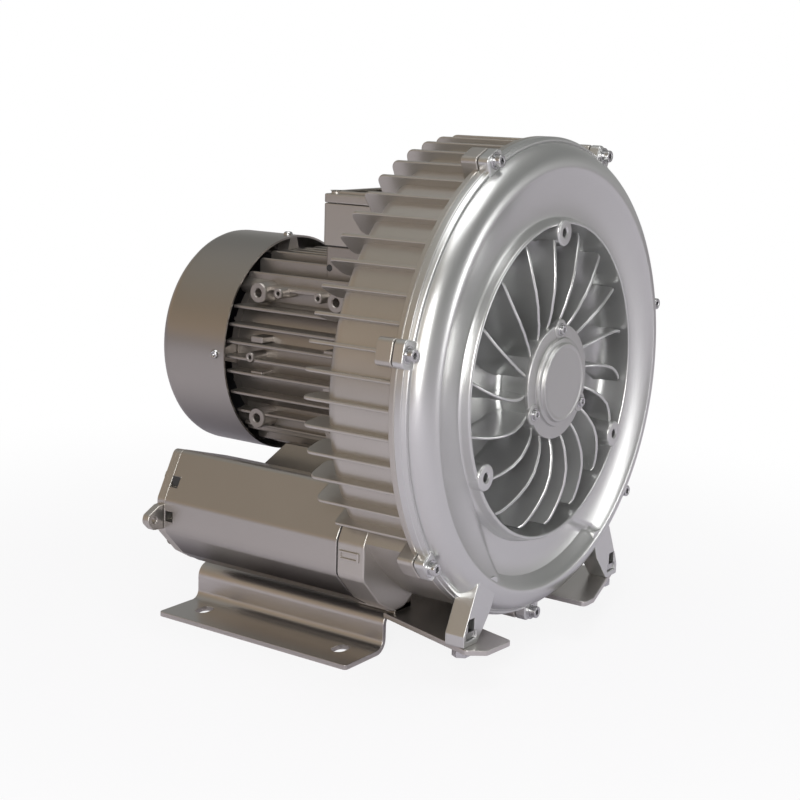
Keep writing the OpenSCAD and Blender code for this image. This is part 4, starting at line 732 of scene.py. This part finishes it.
def leg(side):
    """A leg of the cover, with the slot for the nut of its screw in front."""
    outline = rounded([(side * u, v) for u, v in leg_shape], leg_bends)
    slot = rounded([(side * leg_screw_x + u, v) for u, v in nut_slot], 0.8, 3)
    return [slab([outline, slot], leg_front, slot_floor, 0.7, edges=(True, False)),
            slab([outline], slot_floor - overlap, leg_rear, edges=(False, True))]


cover = piece("pump_cover_casting", [cover_shell(), *leg(-1), *leg(1)], bright, "cover_casting", crease=32)
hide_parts("pump_cover")

rib_count, rib_first, rib_steps = 18, 132.5, 30
rib_in_r, rib_out_r, rib_lead, rib_bow = 42, 114.5, math.radians(15), 113
rib_height, rib_run, rib_sunk = 25.9, 71.5, 1.5
rib_crest = [(0, 0.72), (0.10, 0.84), (0.22, 0.93), (0.42, 1), (0.58, 0.98), (0.74, 0.89), (0.88, 0.78),
             (0.95, 0.71), (0.985, 0.66), (1, 0.58)]


def curved_rib():
    """One blade-like cooling rib on the dish, bowed in plan and rounded along its crest."""
    inner = Vector((rib_in_r * math.cos(rib_lead), rib_in_r * math.sin(rib_lead)))
    outer = Vector((rib_out_r, 0))
    chord = (outer - inner).length
    along = (outer - inner) / chord
    centre = (outer + inner) / 2 + Vector((along.y, -along.x)) * math.sqrt(rib_bow ** 2 - chord ** 2 / 4)
    first, last = math.atan2(*(inner - centre).yx), math.atan2(*(outer - centre).yx)
    points, faces = [], []
    for n in range(rib_steps + 1):
        a = first + (last - first) * n / rib_steps
        normal = Vector((math.cos(a), math.sin(a)))
        spot = centre + normal * rib_bow
        r = spot.length
        high = rib_height * between(rib_crest, max(0, min(1, (r - rib_in_r) / rib_run)))
        foot = dish_depth(min(max(r, 45), 113)) - rib_sunk
        flank = [(3.6, foot), (2.2, foot + 2.2), (1.75, foot + 5), (1.3, high - 1.6), (1.15, high - 0.7),
                 (0.65, high - 0.12)]
        section = [(-w, d) for w, d in flank] + [(0, high)] + flank[::-1]
        points += [(spot.x + normal.x * w, -d, spot.y + normal.y * w) for w, d in section]
    total = len(section)
    for n in range(rib_steps):
        faces += quads(n * total, (n + 1) * total, total)
    return points, faces + [tuple(range(total)), tuple(range(rib_steps * total, rib_steps * total + total))]


piece("cooling_ribs", [curved_rib()], bright, "cover_casting", ring=(rib_count, rib_first, -360 / rib_count),
      crease=42)

boss_r = 112.7
rim_boss = [(3.4, -8), (3.4, -21.9), (4.4, -23), (8.9, -23), (9.7, -22.6), (10.2, -21.8), (10.5, -18),
            (11.2, -8), (13, -2), (3.4, -2)]
hole_floor = [(0, -9), (3.6, -9), (3.6, -7), (0, -7)]
piece("rim_bosses", [turned(rim_boss, 40, (boss_r, 0)), turned(hole_floor, 24, (boss_r, 0))], bright,
      "cover_casting", ring=(3, 90, 120))

cover_lug_front = -9.3
cover_lug = slab([rounded(bolt_lug, [0, 4.5, 4.5, 0])], cover_lug_front, -joint_gap, 1.1)
piece("cover_lugs", [cover_lug], bright, "cover_casting", ring=(bolt_count, -90, bolt_step))


# Screws of the cover
# Seven plated socket screws with thin washers hold the two casings together; three small ones hold the
# bearing cap. Their heads are chamfered and their sockets are six-sided.
plated = coating("plated_steel", colour=(0.66, 0.66, 0.665), tint=(0.54, 0.54, 0.545), rough=0.24, metal=0.98,
                 grain=(1500, 1500, 1500), dents=0.03, stain=0.4, spread=60)
bolt_circle_r = 185


def socket_head(radius, height, face, washer, spot):
    """The parts of a socket screw's head over its washer, at a radius from the axis and facing forward."""
    socket_share, floor_share, chamfer_share = 0.50, 0.45, 0.14
    washer_hole, washer_thick, washer_edge, sunk = 1.5, 0.9, 0.4, 0.05
    socket = circle(spot, 0, radius * socket_share, 6)
    ring = [(washer_hole, face - washer_thick), (washer - washer_edge, face - washer_thick),
            (washer, face - washer_thick + washer_edge), (washer, face + sunk), (washer_hole, face + sunk)]
    return [slab([circle(spot, 0, radius, 32), socket], face - height, face - 0.2, radius * chamfer_share),
            slab([circle(spot, 0, radius * 0.6, 24)], face - height * floor_share, face - 0.1, 0.1),
            turned(ring, 36, (spot, 0))]


bolt_head = socket_head(radius=4.6, height=5.7, face=-9.2, washer=6.4, spot=bolt_circle_r)
bolts = piece("cover_bolt_heads", bolt_head, plated, "steel", ring=(bolt_count, -90, bolt_step))
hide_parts("cover_bolts")


# Bearing cap
# A small stepped casting over the front bearing, sprayed a dull grey and seated in the hub of the cover.
# Three screws through its ears hold it.
cap_profile = [(0, -28.2), (26, -28.2), (27, -28.35), (27.8, -28.7), (29, -28.7), (29.7, -28.4), (30, -27.7),
               (30.2, -26.5), (30.8, -25.9), (32.6, -25.7), (33.4, -25.4), (33.7, -24.6), (33.9, -23.4),
               (34.6, -22.8), (42.6, -22.7), (43.6, -22.4), (44, -21.6), (44, -19), (0, -19)]
ear_circle_r, ear_r, ear_front, ear_rear = 40, 8, -23.7, -19.4
cap_skin = coating("cap_casting", colour=(0.60, 0.60, 0.59), tint=(0.53, 0.53, 0.52), rough=0.38, metal=0.9,
                   grain=(1400, 1400, 1400), dents=0.06, stain=0.4, spread=12)
cap = piece("bearing_cap_casting", [turned(cap_profile, 128)], cap_skin, "cover_casting", crease=36)
cap_ear = slab([circle(ear_circle_r, 0, ear_r, 36)], ear_front, ear_rear, 0.9)
piece("bearing_cap_ears", [cap_ear], cap_skin, "cover_casting", ring=(3, 90, 120))
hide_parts("bearing_cap")
cap_head = socket_head(radius=3.7, height=3, face=ear_front + 0.1, washer=5, spot=ear_circle_r)
cap_heads = piece("bearing_cap_screw_heads", cap_head, plated, "steel", ring=(3, 90, 120))
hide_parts("bearing_cap_screws")


# Motor housing
# A ribbed barrel casting with flat fins at its sides, upright fins above and below, screw bosses on both
# sides and a pedestal for the terminal box. It is bolted to the seat ring of the pump housing.
motor_grey = coating("motor_casting", colour=(0.46, 0.43, 0.40), tint=(0.38, 0.355, 0.33), rough=0.36,
                     metal=0.9, grain=(650, 650, 650), dents=0.025, spread=8)
barrel_in_r, barrel_r, barrel_rear, ring_rear = 65, 71, 236, 86
barrel = turned([(barrel_in_r, seat_rear), (seat_out_r - flange_edge, seat_rear),
                 (seat_out_r, seat_rear + flange_edge), (seat_out_r, ring_rear - flange_edge),
                 (seat_out_r - flange_edge, ring_rear), (barrel_r + 2, ring_rear), (barrel_r, ring_rear + 2),
                 (barrel_r, barrel_rear - flange_edge), (barrel_r - flange_edge, barrel_rear),
                 (barrel_in_r, barrel_rear)], 160)
frame_fin_r, frame_fin_front, frame_fin_half, upright_limit = 86, 84, 1.3, 80
flat_fin_heights = [14.2 * level for level in (2.7, 1.7, 0.75, -0.1, -0.95, -2.2, -3.35, -4.2)]
upright_fin_places = [14 * k for k in range(-4, 5)]


def frame_fin(offset, side, limit, along):
    """A fin of the barrel at an offset from its axis, reaching out to a limit."""
    low, high = offset - frame_fin_half, offset + frame_fin_half
    root = side * (math.sqrt(barrel_r ** 2 - offset ** 2) - 1.5)
    tip = side * min(limit, math.sqrt(frame_fin_r ** 2 - offset ** 2))
    corners = [(root, frame_fin_front), (tip, frame_fin_front), (tip, barrel_rear), (root, barrel_rear)]
    if along == "x":
        corners = [(v, u) for u, v in corners]
    return slab([rounded(corners, [0, 1.5, 3, 0], 3)], low, high, 0.9, along)


screw_column = [(0, 210.5), (6, 210.5), (6.8, 211.5), (6.8, barrel_rear), (0, barrel_rear)]
foot_boss = [(3.4, 13), (3.4, 0.8), (4.1, 0), (7.6, 0), (8.3, 0.8), (8.5, 2), (8.9, 27), (3.4, 27)]
foot_boss_floor = [(0, 13), (4, 13), (4, 15), (0, 15)]
foot_boss_x, foot_boss_ys, foot_boss_zs = 74, (134, 212), (-51, 51)
boss_rib_x, boss_rib_half, boss_rib_low, boss_rib_high = 57.7, 10.2, 53, 56.9
column_circle_r = 76.4
small_boss = [(1.7, 8), (1.7, 0.5), (2.2, 0), (3.6, 0), (4.1, 0.5), (4.3, 2), (4.6, 34), (1.7, 34)]
small_boss_floor = [(0, 8), (2.2, 8), (2.2, 9), (0, 9)]
small_boss_spots = [(188.6, 53, -77.7), (148.8, 53, -77.7), (208.1, 1, -88)]
pad_spots = [(205, 15), (205, -13), (132, 12), (132, -16)]
pad_half_y, pad_half_z, pad_out_x, pad_in_x = 6, 2.6, -83, -66


def side_boss(wall, floor, y, z, face, counts):
    """A drilled boss on a side of the barrel, from radii and depths under its face."""
    side = 1 if face > 0 else -1
    return [turned([(r, face - side * depth) for r, depth in profile], count, (y, z), "x")
            for profile, count in zip((wall, floor), counts)]


motor_parts = [barrel]
motor_parts += [frame_fin(z, side, frame_fin_r, "z") for z in flat_fin_heights for side in (-1, 1)]
motor_parts += [frame_fin(x, side, upright_limit, "x") for x in upright_fin_places for side in (-1, 1)]
motor_parts += [turned(screw_column, 32, spot) for spot in circle(0, 0, column_circle_r, 4, 45)]
for side in (-1, 1):
    for y in foot_boss_ys:
        for z in foot_boss_zs:
            motor_parts += side_boss(foot_boss, foot_boss_floor, y, z, side * foot_boss_x, (36, 20))
    boss_rib = oblong(side * boss_rib_x - boss_rib_half, foot_boss_ys[0],
                      side * boss_rib_x + boss_rib_half, foot_boss_ys[1])
    motor_parts.append(slab([rounded(boss_rib, 2)], boss_rib_low, boss_rib_high, 1, "z"))
for y, z, face in small_boss_spots:
    motor_parts += side_boss(small_boss, small_boss_floor, y, z, face, (28, 16))
for y, z in pad_spots:
    pad = rounded(oblong(y - pad_half_y, z - pad_half_z, y + pad_half_y, z + pad_half_z), 1)
    motor_parts.append(slab([pad], pad_out_x, pad_in_x, 0.7, "x"))
pedestal_half, pedestal_front, pedestal_rear, pedestal_foot, pedestal_top = 44, 88, 168, 40, 90
pedestal = rounded(oblong(-pedestal_half, pedestal_front, pedestal_half, pedestal_rear), 3)
motor_parts.append(slab([pedestal], pedestal_foot, pedestal_top, along="z"))
motor = piece("motor_casting", motor_parts, motor_grey, "cast_aluminium")
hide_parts("motor_housing")


# Fan cowl
# A deep-drawn sheet cap over the motor's fan, open to the front and slotted behind. It is pushed over the
# barrel and held by four round-headed screws through its wall.
def shaded_under(shadow, clear_height, dark_height):
    """A coat that turns to a shadow colour on the underside, from a clear height down to a dark one."""
    return lambda place: (place.part("Z").ranged(clear_height, dark_height, soft=True), shadow)


cowl_metal = coating("cowl_sheet", colour=(0.48, 0.455, 0.425), tint=(0.45, 0.43, 0.405), rough=0.29,
                     metal=0.95, grain=(500, 120, 500), dents=0.006, stain=0.7, spread=7,
                     painted_shade=shaded_under((0.13, 0.12, 0.125), 0.19, 0.128))
cowl_r, cowl_rear, cowl_round, cowl_sheet_thick = 90.7, 305, 12, 1.6
slot_rings, slot_pitch, boss_disc_r = 6, 9.25, 9
spokes, around_spoke = 4, 30


def cowl_shell():
    """The cowl's wall and its rear face with rings of slots, as a closed sheet: (points, faces)."""
    profile = [(0, cowl_rear), (boss_disc_r, cowl_rear)]
    profile += [(k * slot_pitch / 2, cowl_rear) for k in range(4, 4 + 2 * slot_rings)]
    profile += arc(cowl_r - cowl_round, cowl_rear - cowl_round, cowl_round, 90, 0, 6)
    profile += [(cowl_r, y) for y in (275, 255, 235, 233)]
    first_slot, last_slot = 2, 2 * slot_rings
    count = spokes * around_spoke
    shape = bmesh.new()
    rows = [[shape.verts.new((u, y, v)) for u, v in circle(0, 0, r, count)] for r, y in profile]
    for k in range(len(rows) - 1):
        slotted = first_slot <= k <= last_slot and k % 2 == 0
        for i in range(count):
            j = (i + 1) % count
            if slotted and 1 <= i % around_spoke < around_spoke - 1:
                continue
            shape.faces.new((rows[k][i], rows[k][j], rows[k + 1][j], rows[k + 1][i]))
    clean(shape)
    mesh = bpy.data.meshes.new("cowl")
    shape.to_mesh(mesh)
    shape.free()
    shell = bpy.data.objects.new("cowl", mesh)
    bpy.context.scene.collection.objects.link(shell)
    wall = shell.modifiers.new("wall", "SOLIDIFY")
    wall.thickness = cowl_sheet_thick
    wall.offset = -1
    wall.use_even_offset = True
    plain_mesh(shell)
    points = [tuple(vert.co) for vert in shell.data.vertices]
    faces = [tuple(face.vertices) for face in shell.data.polygons]
    bpy.data.objects.remove(shell)
    return points, faces


cowl = piece("fan_cowl_sheet", [cowl_shell()], cowl_metal, "cowl_sheet", crease=30)
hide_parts("fan_cowl")

cowl_screw_y, head_r, head_height = 242, 4, 2.5
head_shares = [(0, 0.35), (0.42, 0.35), (0.46, 0.93), (0.62, 1), (0.86, 0.7), (1, 0.2), (1, -0.16),
               (0, -0.16)]
dome = [(head_r * r, cowl_r + head_height * h) for r, h in head_shares]
side_head = turned(dome, 28, (cowl_screw_y, 0), "x")
cowl_heads = piece("cowl_screw_heads", [side_head], plated, "steel", ring=(4, 0, 90))
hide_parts("cowl_screws")


# Terminal box
# A box cast in aluminium on the pedestal, with a flat lid under four sunk screws. Each joint shows as a fine
# dark line over its gasket. A small black disc on the pedestal's side is painted shade for the dark of a
# hole.
box_half, box_front, box_rear, box_floor, box_top = 46, 86, 170, 91, 124
lid_under, lid_step, lid_top = 124.5, 131.5, 134
lid_screw_x, lid_screw_y, lid_screw_hole = 37.72, 34.44, 4.4


def box_plan(grow, corner):
    """The outline of the box, moved out by a distance."""
    return rounded(oblong(-box_half - grow, box_front - grow, box_half + grow, box_rear + grow), corner, 5)


box_body = [slab([box_plan(0, 4), box_plan(-3.5, 2)], box_floor, box_top, along="z"),
            slab([box_plan(-1, 3)], box_floor + 0.2, box_floor + 3, 0.4, "z")]
box = piece("terminal_box_casting", box_body, silver, "cast_aluminium")
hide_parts("terminal_box_base")
box_middle = (box_front + box_rear) / 2
lid_holes = [circle(x, box_middle + y, lid_screw_hole, 24)
             for x in (-lid_screw_x, lid_screw_x) for y in (-lid_screw_y, lid_screw_y)]
lid_parts = [slab([box_plan(0, 4)], lid_under, lid_step, 1.0, "z"),
             slab([box_plan(-5.6, 5)] + lid_holes, lid_step - 0.5, lid_top, 1.2, "z")]
lid = piece("terminal_lid_casting", lid_parts, silver, "cast_aluminium")
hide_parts("terminal_box_lid")


def dull(name, colour, tint, rough, scale=40, dents=0.3):
    """Rubber, foam or moulded plastic with mottled colour and a dry grain."""
    material, net = new_finish(name)
    place = net.node("ShaderNodeTexCoord", out="Object")
    mottle, grit = place.noise(scale, 5), place.noise(900, 2)
    bump = net.node("ShaderNodeBump", values={"Strength": dents, "Distance": 0.0001, "Height": grit})
    shader = net.node("ShaderNodeBsdfPrincipled", values={
        "Base Color": mottle.blend((*tint, 1), (*colour, 1)), "Roughness": rough + (mottle - 0.5) * 0.2,
        "Normal": bump})
    net.node("ShaderNodeOutputMaterial", values={0: shader})
    return material


# A flat black used only for painted shade: the plates in the silencer notches and the disc on the pedestal.
shade_black = dull("shade_black", colour=(0.05, 0.05, 0.05), tint=(0.03, 0.03, 0.03), rough=0.7)
# Painted shade: a small black disc on the pedestal's left face stands for the dark of a hole there.
hole_shade_y, hole_shade_z = 163.6, 73
hole_shade_profile = [(0, -44.3), (1.4, -44.3), (2.2, -44.5), (2.8, -44.2), (2.9, -43.6), (0, -43.6)]
piece("pedestal_hole_shade", [turned(hole_shade_profile, 24, (hole_shade_y, hole_shade_z), "x")], shade_black, "rubber")


# Silencers
# Each port has an absorber housing behind the pump: an extruded skin with soft shoulders, closed by an end
# plate that carries the pipe thread. Two small notches in the skin's rear edge hold black plates, which are
# painted shade for the dark inside the notches.
skin = coating("silencer_skin", colour=(0.54, 0.515, 0.485), tint=(0.50, 0.48, 0.455), rough=0.31,
               grain=(700, 260, 700), dents=0.012, stain=0.6, spread=7,
               painted_shade=shaded_under((0.07, 0.06, 0.06), 0.086, 0.052))
skin_front, notch_front, skin_rear = 72, 234.4, 243
notch_heights, notch_half = (-96, -123), 4.3
outer_side_x, notch_floor_x, notch_plate_x = silencer_x + 24, silencer_x + 37, 138.9
notch_plate_half, notch_plate_thick = 4, 1.4


def notched(loop, side):
    """The silencer's outline with the two notches cut into its outer side."""
    notches = [(z - notch_half, z + notch_half) for z in notch_heights]
    kept = []
    for (u, v), (next_u, next_v) in zip(loop, loop[1:] + loop[:1]):
        if side * u < outer_side_x or not any(low < v < high for low, high in notches):
            kept.append((u, v))
        if min(side * u, side * next_u) < outer_side_x:
            continue
        rising = next_v > v
        edges = [(level, is_low) for low, high in notches for level, is_low in ((low, True), (high, False))]
        for level, is_low in sorted(edges, reverse=not rising):
            if (v - level) * (next_v - level) < 0:
                rim = (u + (next_u - u) * (level - v) / (next_v - v), level)
                floor = (side * notch_floor_x, level)
                kept += [rim, floor] if rising == is_low else [floor, rim]
    return kept


def silencer_skin(side):
    """The extruded skin, and the edge band behind it with its two notches."""
    band = [notched(silencer_outline(side, 0.9985), side), silencer_outline(side, 0.72)]
    return [slab([silencer_outline(side), silencer_outline(side, 0.92)], skin_front, notch_front, 1.0,
                 edges=(True, False)),
            slab(band, notch_front - 0.1, skin_rear, edges=(False, True))]


def notch_shade_plates(side):
    """Black plates set in the two notches, as painted shade for their dark insides."""
    low, high = side * notch_plate_x - notch_plate_thick / 2, side * notch_plate_x + notch_plate_thick / 2
    front, rear = notch_front + 0.2, skin_rear - 0.6
    plans = [oblong(front, z - notch_plate_half, rear, z + notch_plate_half) for z in notch_heights]
    return [slab([rounded(plan, 0.6, 2)], low, high, 0.3, "x") for plan in plans]


plate_front, plate_step, plate_rear = 243.3, 247.7, 252
mouth_r, thread_out_r, thread_depth, thread_turns, thread_pitch = 29, 31.2, 0.9, 7, 1.15
thread_front, thread_first, thread_rear = 243.5, 251, 251.6
tie_shares = [(0.60, 0.50), (-0.66, 0.54), (0.61, -0.48), (-0.61, -0.48)]
ear_shape = [(136, -135), (159, -133), (166, -126), (164, -120), (152, -114), (136, -113)]
ear_bends = [1, 5, 5, 4, 4, 1]
ear_hole = (158, -125, 2.6)


def port_plate(side):
    """The end plate with its tie screw holes, its ear, and the thread of the port."""
    x = side * silencer_x
    ties = [(x - side * u * silencer_half_w, silencer_z + v * silencer_half_h) for u, v in tie_shares]
    rear_holes = [circle(x, silencer_z, mouth_r, 72)] + [circle(u, v, 5.3, 24) for u, v in ties]
    front_holes = [circle(x, silencer_z, mouth_r + 0.05, 72)] + [circle(u, v, 3.3, 20) for u, v in ties]
    ear = rounded([(side * u, v) for u, v in ear_shape], ear_bends, 5)
    hole_x, hole_z, hole_r = ear_hole
    thread = [(thread_out_r, thread_front), (thread_out_r, thread_rear)]
    for k in range(thread_turns):
        y = thread_first - k * thread_pitch
        thread += [(mouth_r, y), (mouth_r + thread_depth, y - 0.55)]
    thread.append((mouth_r, thread_front))
    rear, front = [silencer_outline(side, 0.985)] + rear_holes, [silencer_outline(side, 0.984)] + front_holes
    return [slab(rear, plate_step, plate_rear, 0.9, edges=(False, True)),
            slab(front, plate_front, plate_step + 0.1, 0.6, edges=(True, False)),
            slab([ear, circle(side * hole_x, hole_z, hole_r, 20)], 244, 251, 1.0),
            turned(thread, 72, (x, silencer_z))]


for side, hand in ((-1, "left"), (1, "right")):
    body = piece(f"silencer_skin_{hand}", silencer_skin(side), skin, "cast_aluminium", crease=30)
    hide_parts(f"silencer_body_{hand}")
    # Painted shade: black plates in the notches of the skin.
    piece(f"notch_shade_plates_{hand}", notch_shade_plates(side), shade_black, "rubber")
    end = piece(f"port_plate_{hand}", port_plate(side), silver, "cast_aluminium")
    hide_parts(f"port_flange_{hand}")


# Inner parts and small fittings
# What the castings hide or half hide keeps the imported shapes: shaft, bearings, rotor, stator, windings,
# fan, seals, screws and glands. Each takes the finish of its own stuff.
plastic = dull("moulded_plastic", colour=(0.07, 0.07, 0.075), tint=(0.045, 0.045, 0.05), rough=0.45)
stuff = {
    "cast_aluminium": motor_grey,
    "cover_casting": bright,
    "cowl_sheet": cowl_metal,
    "base_sheet": sheet_steel,
    "steel": plated,
    "rubber": dull("black_rubber", colour=(0.05, 0.05, 0.05), tint=(0.03, 0.03, 0.03), rough=0.65),
    "foam": dull("absorber_foam", colour=(0.14, 0.14, 0.135), tint=(0.05, 0.05, 0.05), rough=0.95, scale=700,
                 dents=1.0),
    "dark_plastic": plastic,
    "copper": coating("varnished_wire", colour=(0.50, 0.24, 0.10), tint=(0.36, 0.15, 0.06), rough=0.30,
                      metal=0.8, grain=(300, 1800, 300), dents=0.2, stain=0.4, spread=30),
    "brass": coating("turned_brass", colour=(0.72, 0.55, 0.25), tint=(0.62, 0.46, 0.20), rough=0.25,
                     metal=0.98, grain=(1500, 1500, 1500), dents=0.03),
}
slots = {part["node"]: part["material_slot"] for part in frame["record"]["subparts"]}
for name, node in frame["nodes"].items():
    node.data.materials.clear()
    node.data.materials.append(stuff[slots[name]])

disc_in_r, disc_r, disc_front, disc_rear, disc_edge = 58, 72.5, 262.2, 264.6, 0.5
back_disc = [(disc_in_r, disc_front), (disc_r - disc_edge, disc_front), (disc_r, disc_front + disc_edge),
             (disc_r, disc_rear - disc_edge), (disc_r - disc_edge, disc_rear), (disc_in_r, disc_rear)]
piece("fan_back_disc", [turned(back_disc, 96)], plastic, "dark_plastic", body="rotor")
